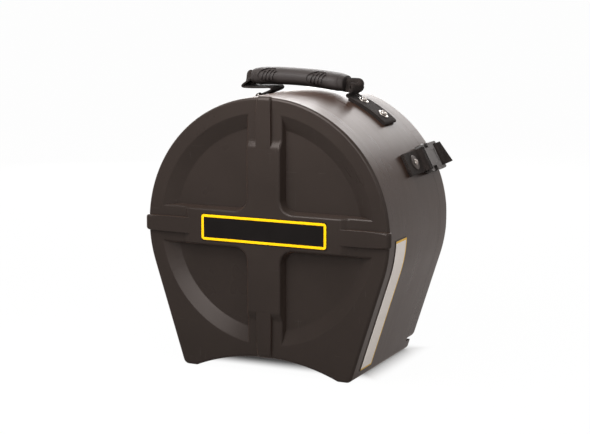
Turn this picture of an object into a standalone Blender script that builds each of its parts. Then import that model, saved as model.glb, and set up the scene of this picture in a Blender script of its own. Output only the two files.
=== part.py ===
"""A moulded drum case: a D-shaped body, a pull-off lid, two strap latches and a carry handle.

Metres, +Z up. The face with the cross looks towards -Y, the lid is at +Y, and the feet
stand on z = 0. The origin is under the middle of the case. Each sub-part is one object.
"""

import math

import bmesh
import bpy
from mathutils import Matrix, Vector

# Case outline, seen from the front
shell_radius = 0.165
floor_drop = 0.0163
base_half_width = 0.1153
foot_width = 0.0173
foot_corner_radius = 0.008
smallest_corner_radius = 0.002
arch_height = 0.020
circle_points = 44
corner_points = 4
arch_points = 12

# Case depth and walls
wall = 0.004
ring_face_depth = 0.211
lid_depth = 0.033
seam_gap = 0.0003
front_rim_round = 0.004
lid_rim_round = 0.010
lid_corner_margin = 0.0015
rim_round_steps = 3
spigot_length = 0.017
spigot_fit_gap = 0.0005
heel_length = 0.015
heel_height = 0.014
heel_gap = 0.0003

# Face relief
rim_width = 0.018
dish_slope_width = 0.020
dish_depth = 0.009
dish_points = 64
arm_width = 0.048
arm_height = 0.0045
arm_end_inset = 0.035
arm_ramp = 0.009
arm_fillet = 0.016
arm_taper = 0.0003
fillet_points = 4
rib_width = 0.020
rib_step = 0.0002
rib_end_overhang = 0.0015
rib_back_depth = 0.010
rib_end_round = 0.0035
hollow_step = 0.001
lid_notch_height = 0.036
lid_notch_depth = 0.0015

# Foam pads
foam_side_gap = 0.013
foam_thickness = 0.010
foam_edge_round = 0.0015

# Badge and write-on strip
badge_end_margin = 0.017
badge_edge_margin = 0.00725
badge_corner_radius = 0.003
badge_thickness = 0.0005
strip_width = 0.036
strip_front_depth = 0.022
strip_low_height = 0.011
strip_top_drop = 0.0038
strip_thickness = 0.0004
strip_edge_points = 14

# Webbing, rivets and washers
web_thickness = 0.0023
rivet_shank_radius = 0.0024
rivet_hole_gap = 0.0004
rivet_head_width = 0.0024
rivet_head_height = 0.0028
rivet_tail_width = 0.0018
rivet_tail_height = 0.0012
rivet_dish_share = 0.5
rivet_dish_depth = 0.0016
washer_thickness = 0.0009
round_steps = 16

# Carry handle, its webbing runs across the case
handle_seam_distance = 0.042
handle_web_width = 0.038
tab_end_reach = 0.0605
tab_length = 0.0562
tab_rivet_distances = (0.0435, 0.0124)
tab_arc_steps = 6
handle_washer_rim = 0.0044
backing_plate_edge = 0.004
backing_plate_thickness = 0.0015
backing_plate_overlap = 0.0043
grip_left = -0.0785
grip_right = 0.0515
grip_left_lift = 0.0142
grip_right_lift = 0.0087
grip_rise = 0.0035
grip_height = 0.0225
grip_cheek = 0.0035
grip_end_share = 0.84
grip_end_length = 0.010
grip_bore_gap = 0.0004
grip_points = 12
grip_strap_overhang = 0.002
fold_gap = 0.0003
right_fold_reach = 0.0205
left_fold_reach = 0.0270
fold_route_steps = 3

# Strap latches, one on each side of the case, placed from the seam
latch_angle = 27.7
latch_web_width = 0.030
socket_ahead = 0.030
socket_length = 0.041
tab_ahead = 0.050
latch_rivet_ahead = 0.026
latch_washer_rim = 0.007
backing_washer_rim = 0.0057
socket_bottom = 0.0012
socket_height = 0.010
socket_wall = 0.0035
socket_plate = 0.0018
socket_corner_round = 0.003
socket_edge_round = 0.0008
web_side_gap = 0.0005
bar_size = 0.0048
bar_clearance = 0.0005
window_start = 0.010
window_length = 0.013
plug_gap = 0.0008
plug_shoulder_length = 0.005
plug_frame_length = 0.0127
guide_width = 0.007
guide_length = 0.023
prong_thickness = 0.0032
prong_height = 0.0046
prong_tip_gap = 0.0015
prong_head_length = 0.0100
prong_side_gap = 0.0006
prong_head_gap = 0.0007
lid_strap_inset = 0.0215
lid_rivet_inset = 0.014
lid_washer_rim = 0.0034
lid_backing_rim = 0.0022
lid_backing_gap = 0.0011
tail_length = 0.012
tail_lift = 0.0045
strap_corner_steps = 5

# Small gaps that touching pieces keep, and how far cuts run past a wall
rest_gap = 0.0003
cut_overrun = 0.005
weld_distance = 0.000001
flat_angle = 0.0005

# The two folds' routes, (across, up) from the tab's end as shares of their reach and of the rise
right_fold_shares = (
    (-0.14, 0.13),
    (-0.10, 0.30),
    (0.10, 0.36),
    (0.45, 0.47),
    (0.81, 0.74),
    (0.98, 1.05),
    (0.79, 1.34),
    (0.25, 1.30),
    (-0.14, 1.12),
)
left_fold_shares = (
    (-0.22, 0.11),
    (-0.44, 0.22),
    (-0.54, 0.32),
    (-0.46, 0.42),
    (-0.14, 0.41),
    (0.52, 0.38),
    (0.84, 0.48),
    (0.98, 0.77),
    (0.93, 1.00),
)

# Worked out from the sizes above
centre_height = shell_radius + floor_drop
crown_height = centre_height + shell_radius
arch_half_width = base_half_width - foot_width
seam_depth = ring_face_depth - lid_depth
lid_corner_radius = lid_rim_round + lid_corner_margin
dish_radius = shell_radius - rim_width
dish_floor_radius = dish_radius - dish_slope_width
arm_half_length = dish_radius - arm_end_inset
rib_height = arm_height - rib_step
foam_radius = shell_radius - wall - foam_side_gap
badge_length = 2 * (arm_half_length - arm_ramp - badge_end_margin)
badge_height = arm_width - 2 * badge_edge_margin
strip_top_height = centre_height - strip_top_drop
rivet_hole_radius = rivet_shank_radius + rivet_hole_gap
rivet_head_radius = rivet_shank_radius + rivet_head_width
rivet_tail_radius = rivet_shank_radius + rivet_tail_width
handle_depth = seam_depth - handle_seam_distance
tab_high_angle = math.degrees(math.acos(tab_end_reach / shell_radius))
tab_low_angle = tab_high_angle - math.degrees(tab_length / shell_radius)
grip_width = handle_web_width + 2 * grip_cheek
socket_front_depth = seam_depth - socket_ahead
socket_back_depth = socket_front_depth + socket_length
socket_width = latch_web_width + 2 * (web_side_gap + socket_wall)
socket_top = socket_bottom + socket_height
window_front_depth = socket_front_depth + window_start
window_back_depth = window_front_depth + window_length
badge_stand = arm_height + rest_gap + badge_thickness
lid_rivet_stand = web_thickness + washer_thickness + rivet_head_height + 3 * rest_gap
overall_depth = badge_stand + ring_face_depth + lid_rivet_stand
front_face_y = badge_stand - overall_depth / 2
lid_face_y = front_face_y + ring_face_depth
seam_y = front_face_y + seam_depth
side_lean = math.atan2(centre_height, base_half_width) - math.acos(
    shell_radius / math.hypot(centre_height, base_half_width)
)
arch_radius = (arch_half_width**2 + arch_height**2) / (2 * arch_height)
arch_centre_height = arch_height - arch_radius
arm_half = arm_width / 2
strap_stack = 2 * web_thickness


def depth_y(depth):
    """The y of a place measured back from the front ring face."""
    return front_face_y + depth


# Scene and materials


def clear_scene():
    for old in list(bpy.data.objects):
        bpy.data.objects.remove(old, do_unlink=True)


def new_collection(name, hidden=False):
    made = bpy.data.collections.new(name)
    bpy.context.scene.collection.children.link(made)
    made.hide_render = hidden
    return made


def new_material(name, colour, roughness, metallic=0.0):
    made = bpy.data.materials.new(name)
    made.use_nodes = True
    shader = made.node_tree.nodes["Principled BSDF"]
    shader.inputs["Base Color"].default_value = (*colour, 1.0)
    shader.inputs["Roughness"].default_value = roughness
    shader.inputs["Metallic"].default_value = metallic
    return made


clear_scene()
case_parts = new_collection("drum_case")
cutters = new_collection("cutters", hidden=True)

shell_plastic = new_material("shell_plastic", (0.030, 0.027, 0.025), 0.42)
foam = new_material("foam", (0.020, 0.020, 0.022), 0.95)
badge_film = new_material("badge_film", (0.010, 0.010, 0.010), 0.35)
strip_film = new_material("strip_film", (0.750, 0.730, 0.760), 0.40)
webbing = new_material("webbing", (0.012, 0.011, 0.011), 0.85)
grip_rubber = new_material("grip_rubber", (0.022, 0.019, 0.019), 0.55)
buckle_plastic = new_material("buckle_plastic", (0.030, 0.028, 0.027), 0.35)
rivet_steel = new_material("rivet_steel", (0.620, 0.600, 0.580), 0.28, 1.0)


# Making objects


def add_object(name, mesh, matrix, material=None):
    """Links a mesh as a part, or as a cutter when it has no material."""
    made = bpy.data.objects.new(name, mesh)
    made.matrix_world = matrix
    if material is None:
        cutters.objects.link(made)
        made.hide_render = True
        made.display_type = "WIRE"
    else:
        case_parts.objects.link(made)
        mesh.materials.append(material)
    return made


def mesh_of_curve(curve, name):
    """The mesh that a curve makes, with its caps welded to its sides."""
    guide = bpy.data.objects.new(name, curve)
    bpy.context.scene.collection.objects.link(guide)
    graph = bpy.context.evaluated_depsgraph_get()
    mesh = bpy.data.meshes.new_from_object(guide.evaluated_get(graph))
    bpy.data.objects.remove(guide)
    bm = bmesh.new()
    bm.from_mesh(mesh)
    bmesh.ops.remove_doubles(bm, verts=bm.verts, dist=weld_distance)
    bmesh.ops.dissolve_limit(bm, angle_limit=flat_angle, verts=[], edges=bm.edges)
    bmesh.ops.recalc_face_normals(bm, faces=bm.faces)
    bm.to_mesh(mesh)
    bm.free()
    return mesh



def slab(name, outlines, near, far, matrix, material=None):
    """Flat outlines in the matrix's XY plane, extruded along its Z from near to far."""
    curve = bpy.data.curves.new(name, "CURVE")
    curve.dimensions = "2D"
    curve.fill_mode = "BOTH"
    curve.extrude = (far - near) / 2
    for points in outlines:
        spline = curve.splines.new("POLY")
        spline.points.add(len(points) - 1)
        for point, (x, y) in zip(spline.points, points):
            point.co = (x, y, 0.0, 1.0)
        spline.use_cyclic_u = True
    mesh = mesh_of_curve(curve, name)
    for vertex in mesh.vertices:
        vertex.co.z = near if vertex.co.z < 0 else far
    return add_object(name, mesh, matrix, material)


def block(name, low, high, matrix, material=None):
    """A box between two corners of the matrix's own axes."""
    bm = bmesh.new()
    bmesh.ops.create_cube(bm, size=1.0)
    size = Vector(high) - Vector(low)
    middle = (Vector(high) + Vector(low)) / 2
    bm.transform(Matrix.Translation(middle) @ Matrix.Diagonal((*size, 1.0)))
    mesh = bpy.data.meshes.new(name)
    bm.to_mesh(mesh)
    bm.free()
    return add_object(name, mesh, matrix, material)


def rod(name, radius, low, high, matrix, steps, far_radius=None):
    """A cylinder, or a cone with a far radius, along the matrix's Z from low to high."""
    bm = bmesh.new()
    bmesh.ops.create_cone(
        bm,
        cap_ends=True,
        segments=steps,
        radius1=radius,
        radius2=radius if far_radius is None else far_radius,
        depth=high - low,
    )
    bm.transform(Matrix.Translation((0.0, 0.0, (low + high) / 2)))
    mesh = bpy.data.meshes.new(name)
    bm.to_mesh(mesh)
    bm.free()
    return add_object(name, mesh, matrix)


def turned(name, profile, closed, matrix, material, steps=round_steps):
    """A profile of (radius, height) points, run down its outer side, turned about Z."""
    mesh = bpy.data.meshes.new(name)
    corners = [(radius, 0.0, height) for radius, height in profile]
    edges = [(i, i + 1) for i in range(len(profile) - 1)]
    if closed:
        edges.append((len(profile) - 1, 0))
    mesh.from_pydata(corners, edges, [])
    made = add_object(name, mesh, matrix, material)
    screw = made.modifiers.new("turn", "SCREW")
    screw.steps = steps
    screw.render_steps = steps
    screw.use_merge_vertices = True
    screw.merge_threshold = weld_distance
    return made


def join_on(target, *others):
    for other in others:
        made = target.modifiers.new("join_" + other.name, "BOOLEAN")
        made.operation = "UNION"
        made.object = other


def cut(target, *others):
    for other in others:
        made = target.modifiers.new("cut_" + other.name, "BOOLEAN")
        made.operation = "DIFFERENCE"
        made.object = other


def solve_as_manifold(*targets):
    """Picks the solver for closed meshes, where the exact one fails on the lid's soft corners."""
    for target in targets:
        for modifier in target.modifiers:
            if modifier.type == "BOOLEAN":
                modifier.solver = "MANIFOLD"


def round_edges(target, wanted, width, steps):
    """Rounds the edges whose two ends both pass the test."""
    bm = bmesh.new()
    bm.from_mesh(target.data)
    edges = [edge for edge in bm.edges if all(wanted(v.co) for v in edge.verts)]
    bmesh.ops.bevel(
        bm, geom=edges, offset=width, segments=steps, profile=0.5, affect="EDGES"
    )
    bm.to_mesh(target.data)
    bm.free()


def soften(target, width, steps=1, angle=50.0):
    made = target.modifiers.new("soften", "BEVEL")
    made.width = width
    made.segments = steps
    made.limit_method = "ANGLE"
    made.angle_limit = math.radians(angle)


def show_smooth():
    for part in case_parts.objects:
        part.data.shade_smooth()
        part.data.set_sharp_from_angle(angle=math.radians(32.0))


# Places


def upright(y=0.0):
    """Local X to world X, local Y to world Z, local Z towards the front."""
    return Matrix(((1, 0, 0, 0), (0, 0, -1, y), (0, 1, 0, 0), (0, 0, 0, 1)))


def axes(right, up, out, origin):
    """A matrix from three directions and an origin."""
    made = Matrix.Identity(4)
    for column, direction in enumerate((right, up, out, origin)):
        for row in range(3):
            made[row][column] = direction[row]
    return made


def radial(angle):
    turn = math.radians(angle)
    return Vector((math.cos(turn), 0.0, math.sin(turn)))


def on_shell(angle, depth, radius=shell_radius):
    """X across the strap, Y back along the case, Z out of the shell."""
    out = radial(angle)
    back = Vector((0.0, 1.0, 0.0))
    place = out * radius + Vector((0.0, depth_y(depth), centre_height))
    return axes(back.cross(out), back, out, place)


def side_on(angle):
    """X back along the case, Y out of the shell, Z across the strap; depth from the front."""
    out = radial(angle)
    back = Vector((0.0, 1.0, 0.0))
    place = out * shell_radius + Vector((0.0, front_face_y, centre_height))
    return axes(back, out, back.cross(out), place)


def arc(centre, radius, first, last, steps):
    """Points on an arc of the plane, angles in degrees, both ends included."""
    points = []
    for i in range(steps + 1):
        turn = math.radians(first + (last - first) * i / steps)
        points.append(
            (centre[0] + radius * math.cos(turn), centre[1] + radius * math.sin(turn))
        )
    return points


def band(angle_low, angle_high, inner, outer, steps):
    """A closed outline between two radii round the centre of the case."""
    centre = (0.0, centre_height)
    out = arc(centre, outer, angle_low, angle_high, steps)
    return out + arc(centre, inner, angle_high, angle_low, steps)


def offset_path(path, thickness):
    """A closed outline that follows a path of points with half the thickness on each side."""
    left, right = [], []
    for i, point in enumerate(path):
        before = Vector(path[max(i - 1, 0)])
        after = Vector(path[min(i + 1, len(path) - 1)])
        along = (after - before).normalized()
        across = Vector((-along.y, along.x)) * (thickness / 2)
        left.append(tuple(Vector(point) + across))
        right.append(tuple(Vector(point) - across))
    return left + right[::-1]


def smooth_path(points, steps):
    """A Catmull-Rom curve through points, its ends kept."""
    ends = [points[0], *points, points[-1]]
    made = []
    for i in range(1, len(ends) - 2):
        p0, p1, p2, p3 = (Vector(ends[k]) for k in range(i - 1, i + 3))
        for step in range(steps):
            t = step / steps
            made.append(
                tuple(
                    (
                        p1 * 2
                        + (p2 - p0) * t
                        + (p0 * 2 - p1 * 5 + p2 * 4 - p3) * t**2
                        + (p1 * 3 - p0 - p2 * 3 + p3) * t**3
                    )
                    / 2
                )
            )
    made.append(tuple(points[-1]))
    return made


# Case shells


def case_outline(inset=0.0, floor=0.0, corner=foot_corner_radius):
    """The D-shaped outline, moved inwards by inset, with its feet on the floor height."""
    lean = math.degrees(side_lean)
    radius = shell_radius - inset
    centre = Vector((0.0, centre_height))
    round_radius = max(corner - inset, smallest_corner_radius)
    base = floor + inset
    side_reach = shell_radius - inset - round_radius
    corner_z = base + round_radius
    corner_x = (side_reach + (corner_z - centre_height) * math.sin(side_lean)) / (
        math.cos(side_lean)
    )
    arch = arch_radius + inset
    arch_x = math.sqrt(arch**2 - (base - arch_centre_height) ** 2)
    arch_turn = math.degrees(math.asin(arch_x / arch))
    right = arc((corner_x, corner_z), round_radius, -90.0, -lean, corner_points)
    top = arc(centre, radius, -lean, 180.0 + lean, circle_points)
    left = arc((-corner_x, corner_z), round_radius, 180.0 + lean, 270.0, corner_points)
    under = arc(
        (0.0, arch_centre_height), arch, 90.0 + arch_turn, 90.0 - arch_turn, arch_points
    )
    return right + top + left + under


def case_prism(name, near, far, inset=0.0, floor=0.0, material=None, corner=foot_corner_radius):
    """The outline extruded between two depths behind the front ring face."""
    outline = case_outline(inset, floor, corner)
    return slab(name, [outline], -far, -near, upright(front_face_y), material)


def plus_outline(half_length, half_width, fillet):
    """A plus sign with rounded inner corners, round the middle of the face."""
    points = []
    for quarter in range(4):
        corner = [
            (half_length, arm_taper - half_width),
            (half_length, half_width - arm_taper),
            *arc(
                (half_width + fillet, half_width + fillet),
                fillet,
                270.0,
                180.0,
                fillet_points,
            ),
        ]
        turn = Matrix.Rotation(math.radians(90.0 * quarter), 2)
        points += [tuple(turn @ Vector(point)) for point in corner]
    return [(x, z + centre_height) for x, z in points]


def face_matrix(face_y, outwards):
    """X and Y in the face, Z out of the case; the face's middle is not moved."""
    up = Vector((0.0, 0.0, 1.0))
    out = Vector((0.0, outwards, 0.0))
    return axes(up.cross(out), up, out, Vector((0.0, face_y, 0.0)))


def dish_cone(name, face_y, outwards, grow):
    """The round dish with its sloping side, grown by a wall thickness for the inner skin."""
    run = dish_radius - dish_floor_radius
    slope = math.hypot(run, dish_depth)

    def radius_at(depth):
        return dish_radius + (grow * slope - run * depth) / dish_depth

    deep = dish_depth + grow
    middle = face_matrix(face_y, outwards) @ Matrix.Translation(
        (0.0, centre_height, 0.0)
    )
    return rod(
        name,
        radius_at(deep),
        -deep,
        cut_overrun,
        middle,
        dish_points,
        radius_at(-cut_overrun),
    )


def cross_slab(name, face_y, outwards, bottom, top, half_width, arm_end):
    """The cross from below the dish floor up to its top, with a ramp at each arm's end."""
    reach = dish_radius + wall
    fillet = arm_fillet + arm_half - half_width
    face = face_matrix(face_y, outwards)
    cross = slab(name, [plus_outline(reach, half_width, fillet)], bottom, top, face)
    above = top + arm_height
    top_run = arm_ramp * above / arm_height
    wedge = [
        (arm_end, 0.0),
        (reach + cut_overrun, 0.0),
        (reach + cut_overrun, above),
        (arm_end - top_run, above),
    ]
    for quarter in range(4):
        turn = Matrix.Rotation(math.radians(90.0 * quarter), 4, "Y")
        place = Matrix.Translation((0.0, face_y, centre_height)) @ turn @ upright()
        tilt = Matrix.Rotation(math.radians(90.0), 4, "X")
        side = slab(
            f"{name}_ramp_{quarter}",
            [wedge],
            -arm_half - arm_fillet,
            arm_half + arm_fillet,
            place @ tilt if outwards < 0 else place @ Matrix.Rotation(math.radians(-90.0), 4, "X"),
        )
        cut(cross, side)
    return cross


def relief(side, shell, cavity, face_y, outwards):
    """Dishes the face of a shell in four quadrants and raises the cross on it."""
    face = face_matrix(face_y, outwards)
    reach = dish_radius + wall
    bottom = -dish_depth - wall
    cut(shell, dish_cone(side + "_dish", face_y, outwards, 0.0))
    cross = cross_slab(
        side + "_cross", face_y, outwards, bottom, arm_height, arm_half, arm_half_length
    )
    join_on(shell, cross)
    inner_dish = dish_cone(side + "_inner_dish", face_y, outwards, wall)
    inner_cross = slab(
        side + "_inner_cross",
        [plus_outline(reach, arm_half - wall, arm_fillet + wall)],
        bottom - cut_overrun,
        cut_overrun * 2,
        face,
    )
    cut(inner_dish, inner_cross)
    cut(cavity, inner_dish)
    hollow = arm_half - wall - hollow_step
    hollow_outline = plus_outline(arm_half_length - arm_ramp - wall, hollow, arm_fillet + wall)
    join_on(
        cavity,
        slab(side + "_hollow", [hollow_outline], -wall - hollow_step, arm_height - wall, face),
    )


def rib(name, quarter, face_y, rim_radius):
    """One rib that carries an arm on to the rim and ends rounded over it."""
    low = arm_half_length - arm_ramp - wall
    high = rim_radius + rib_end_overhang
    body = [
        (low, -wall),
        (low, rib_height),
        *arc(
            (high - rib_end_round, rib_height - rib_end_round),
            rib_end_round,
            90.0,
            0.0,
            corner_points,
        ),
        (high, -rib_end_round),
        (rim_radius - rib_end_round, -rib_back_depth),
        (rim_radius - wall, -rib_back_depth),
        (rim_radius - wall, -wall),
    ]
    turn = Matrix.Rotation(math.radians(90.0 * quarter), 3, "Y")
    along = turn @ Vector((1.0, 0.0, 0.0))
    out = Vector((0.0, -1.0, 0.0))
    place = axes(along, out, along.cross(out), Vector((0.0, face_y, centre_height)))
    made = slab(name, [body], -rib_width / 2, rib_width / 2, place)
    return made


def hole(name, place, low, high):
    return rod(name, rivet_hole_radius, low, high, place, round_steps)


def make_body():
    shell = case_prism("body_shell", 0.0, seam_depth + heel_length, material=shell_plastic)
    round_edges(shell, lambda co: co.z > -weld_distance, front_rim_round, rim_round_steps)
    cavity = case_prism("body_cavity", wall, seam_depth - wall, wall)
    relief("body", shell, cavity, front_face_y, -1.0)
    lid_floor = heel_height + heel_gap
    spigot_inset = wall + spigot_fit_gap
    spigot = case_prism(
        "spigot",
        seam_depth - wall / 2,
        seam_depth + spigot_length,
        spigot_inset,
        lid_floor,
        corner=lid_corner_radius,
    )
    mouth = case_prism(
        "spigot_mouth",
        seam_depth - wall - cut_overrun,
        seam_depth + spigot_length + cut_overrun,
        spigot_inset + wall,
        lid_floor,
        corner=lid_corner_radius,
    )
    above_heels = block(
        "above_heels",
        (-shell_radius, seam_y, heel_height),
        (shell_radius, lid_face_y, centre_height + shell_radius + cut_overrun),
        Matrix.Identity(4),
    )
    cut(shell, above_heels)
    join_on(shell, spigot)
    arch_rim_radius = centre_height - arch_height - rib_end_overhang
    rims = (shell_radius, arch_rim_radius, shell_radius, shell_radius)
    for quarter, rim in enumerate(rims):
        join_on(shell, rib(f"rib_{quarter}", quarter, front_face_y, rim))
    cut(shell, cavity, mouth)
    return shell


def make_lid():
    lid_floor = heel_height + heel_gap
    shell = case_prism(
        "lid_shell",
        seam_depth + seam_gap,
        ring_face_depth,
        floor=lid_floor,
        material=shell_plastic,
        corner=lid_corner_radius,
    )
    back = -ring_face_depth + weld_distance
    round_edges(shell, lambda co: co.z < back, lid_rim_round, rim_round_steps + 1)
    cavity = case_prism(
        "lid_cavity",
        seam_depth + seam_gap - cut_overrun,
        ring_face_depth - wall,
        wall,
        lid_floor,
        corner=lid_corner_radius,
    )
    inner_back = -ring_face_depth + wall + weld_distance
    round_edges(
        cavity, lambda co: co.z < inner_back, lid_rim_round - wall, rim_round_steps
    )
    relief("lid", shell, cavity, lid_face_y, 1.0)
    cut(shell, cavity)
    solve_as_manifold(shell, cavity)
    notch_low = shell_radius - lid_notch_depth
    notch_high = shell_radius + cut_overrun
    low_z = centre_height - lid_notch_height / 2
    high_z = centre_height + lid_notch_height / 2
    for side, left, right in (
        ("left", -notch_high, -notch_low),
        ("right", notch_low, notch_high),
    ):
        notch = block(
            "lid_notch_" + side,
            (left, lid_face_y - lid_rim_round, low_z),
            (right, lid_face_y + cut_overrun, high_z),
            Matrix.Identity(4),
        )
        cut(shell, notch)
    return shell


def foam_pad(name, front_depth, face_y):
    made = turned(
        name,
        [
            (0.0, foam_thickness),
            (foam_radius - foam_edge_round, foam_thickness),
            (foam_radius, foam_thickness - foam_edge_round),
            (foam_radius, foam_edge_round),
            (foam_radius - foam_edge_round, 0.0),
            (0.0, 0.0),
        ],
        False,
        face_matrix(face_y, -1.0)
        @ Matrix.Translation((0.0, centre_height, -front_depth)),
        foam,
        dish_points,
    )
    return made


# Badge and strip


def rounded_rectangle(half_width, half_height, radius, steps=corner_points):
    points = []
    for quarter, (sx, sy) in enumerate(((1, 1), (-1, 1), (-1, -1), (1, -1))):
        middle = (sx * (half_width - radius), sy * (half_height - radius))
        points += arc(middle, radius, 90.0 * quarter, 90.0 * (quarter + 1), steps)
    return points


def make_badge():
    outline = rounded_rectangle(badge_length / 2, badge_height / 2, badge_corner_radius)
    place = face_matrix(front_face_y - arm_height - rest_gap, -1.0)
    centred = [(x, y + centre_height) for x, y in outline]
    slab("front_badge", [centred], 0.0, badge_thickness, place, badge_film)


def side_path(offset, first_height, last_height, steps):
    """Points up the right side of the outline, from one height to another."""
    lean = math.degrees(side_lean)
    radius = shell_radius + offset
    turn_height = centre_height - radius * math.sin(side_lean)
    turn_x = radius * math.cos(side_lean)
    start_x = turn_x - (turn_height - first_height) * math.tan(side_lean)
    last_turn = math.degrees(math.asin((last_height - centre_height) / radius))
    return [
        (start_x, first_height),
        *arc((0.0, centre_height), radius, -lean, last_turn, steps),
    ]


def make_strip():
    inner = side_path(rest_gap, strip_low_height, strip_top_height, strip_edge_points)
    outer = side_path(
        rest_gap + strip_thickness, strip_low_height, strip_top_height, strip_edge_points
    )
    near = -strip_front_depth - strip_width
    slab(
        "side_strip",
        [outer + inner[::-1]],
        near,
        -strip_front_depth,
        upright(front_face_y),
        strip_film,
    )


# Rivets and washers


def washer(name, inner, outer, thickness, place, base, material):
    return turned(
        name,
        [(inner, base + thickness), (outer, base + thickness), (outer, base), (inner, base)],
        True,
        place,
        material,
    )


def domed_rivet(name, place, head_base, tail_base, dished, head_radius=rivet_head_radius):
    """A rivet from under its clinched tail to the top of its head."""
    shoulder = head_base + rivet_head_height / 2
    top = head_base + rivet_head_height
    crown = [(0.0, top), (head_radius / 2, top - rivet_head_height / 8)]
    if dished:
        dish = head_radius * rivet_dish_share
        crown = [
            (0.0, top - rivet_dish_depth),
            (dish, top - rivet_dish_depth),
            (dish, top - rivet_head_height / 8),
            ((dish + head_radius) / 2, top),
        ]
    profile = [
        *crown,
        (head_radius, shoulder),
        (head_radius, head_base),
        (rivet_shank_radius, head_base),
        (rivet_shank_radius, tail_base),
        (rivet_tail_radius, tail_base),
        (rivet_tail_radius, tail_base - rivet_tail_height),
        (0.0, tail_base - rivet_tail_height),
    ]
    return turned(name, profile, False, place, rivet_steel)


# Handle


def handle_slab(name, outlines, width, material=None):
    middle = handle_depth
    place = upright(front_face_y)
    return slab(name, outlines, -middle - width / 2, -middle + width / 2, place, material)


def mirrored(points):
    return [(-x, z) for x, z in points][::-1]


def make_handle_tab(side, shell):
    """The riveted webbing tab of one end of the handle, doubled, with its plate and rivets."""
    right = side == "right"
    inner = shell_radius + rest_gap
    tab_outline = band(
        tab_low_angle, tab_high_angle, inner, inner + strap_stack, tab_arc_steps
    )
    plate_margin = math.degrees(backing_plate_overlap / shell_radius)
    plate_width = handle_web_width - 2 * backing_plate_edge
    plate_outer = shell_radius - wall - rest_gap
    plate_outline = band(
        tab_low_angle - plate_margin,
        tab_high_angle + plate_margin,
        plate_outer - backing_plate_thickness,
        plate_outer,
        tab_arc_steps,
    )
    if not right:
        tab_outline = mirrored(tab_outline)
        plate_outline = mirrored(plate_outline)
    tab = handle_slab("handle_tab_" + side, [tab_outline], handle_web_width, webbing)
    plate = handle_slab("handle_backing_" + side, [plate_outline], plate_width, rivet_steel)
    plate_base = -wall - rest_gap - backing_plate_thickness - rest_gap
    for label, distance in zip(("lower", "upper"), tab_rivet_distances):
        angle = tab_high_angle - math.degrees(distance / shell_radius)
        place = on_shell(angle if right else 180.0 - angle, handle_depth)
        tag = f"{side}_{label}"
        drill = hole("handle_hole_" + tag, place, plate_base - cut_overrun, cut_overrun * 2)
        cut(shell, drill)
        cut(tab, drill)
        cut(plate, drill)
        washer_base = rest_gap + strap_stack + rest_gap
        washer(
            "handle_washer_" + tag,
            rivet_hole_radius,
            rivet_hole_radius + handle_washer_rim,
            washer_thickness,
            place,
            washer_base,
            rivet_steel,
        )
        head_base = washer_base + washer_thickness + rest_gap
        domed_rivet("handle_rivet_" + tag, place, head_base, plate_base, True)


def grip_line(x):
    """The height of the grip's middle line at x: a shallow arc, its right end lower."""
    share = (x - grip_left) / (grip_right - grip_left)
    lift = grip_left_lift + (grip_right_lift - grip_left_lift) * share
    return crown_height + lift + grip_rise * 4 * share * (1 - share)


def grip_path(first, last, steps):
    return [
        (first + (last - first) * i / steps, grip_line(first + (last - first) * i / steps))
        for i in range(steps + 1)
    ]


def make_grip():
    curve = bpy.data.curves.new("handle_grip", "CURVE")
    curve.dimensions = "3D"
    curve.bevel_depth = grip_height / 2
    curve.bevel_resolution = 3
    curve.use_fill_caps = True
    path = grip_path(grip_left, grip_right, grip_points)
    spline = curve.splines.new("POLY")
    spline.points.add(len(path) - 1)
    for point, (x, z) in zip(spline.points, path):
        point.co = (x, 0.0, z, 1.0)
        from_end = min(x - grip_left, grip_right - x)
        grown = min(from_end / grip_end_length, 1.0)
        point.radius = grip_end_share + (1.0 - grip_end_share) * grown
    mesh = mesh_of_curve(curve, "handle_grip")
    mesh.transform(Matrix.Diagonal((1.0, grip_width / grip_height, 1.0, 1.0)))
    grip = add_object(
        "handle_grip",
        mesh,
        Matrix.Translation((0.0, depth_y(handle_depth), 0.0)),
        grip_rubber,
    )
    longer = grip_path(grip_left - cut_overrun, grip_right + cut_overrun, grip_points)
    bore = handle_slab(
        "grip_bore",
        [offset_path(longer, web_thickness + 2 * grip_bore_gap)],
        handle_web_width + 2 * grip_bore_gap,
    )
    cut(grip, bore)
    inside = grip_path(
        grip_left - grip_strap_overhang, grip_right + grip_strap_overhang, grip_points
    )
    handle_slab(
        "handle_strap", [offset_path(inside, web_thickness)], handle_web_width, webbing
    )
    return grip


def make_folds():
    """The loose webbing between each tab and its end of the grip."""
    turn = math.radians(tab_high_angle)
    radius = shell_radius + rest_gap + web_thickness * 3 / 2
    for side, sign, shares, reach, grip_end in (
        ("right", 1.0, right_fold_shares, right_fold_reach, grip_right),
        ("left", -1.0, left_fold_shares, left_fold_reach, grip_left),
    ):
        start_x = sign * (radius * math.cos(turn) - fold_gap * math.sin(turn))
        start_z = centre_height + radius * math.sin(turn) + fold_gap * math.cos(turn)
        end_x = grip_end + sign * (grip_strap_overhang + fold_gap)
        rise = grip_line(end_x) - start_z
        lead_x = start_x - sign * web_thickness / 2 * math.sin(turn)
        lead_z = start_z + web_thickness / 2 * math.cos(turn)
        points = [(lead_x, lead_z)]
        for across, up in shares:
            points.append((start_x + sign * across * reach, start_z + up * rise))
        last_x = end_x + sign * web_thickness
        points.append((last_x, grip_line(last_x)))
        route = [(start_x, start_z), *smooth_path(points, fold_route_steps)]
        route.append((end_x, grip_line(end_x)))
        outline = offset_path(route, web_thickness)
        handle_slab("handle_fold_" + side, [outline], handle_web_width, webbing)


# Latches


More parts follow.
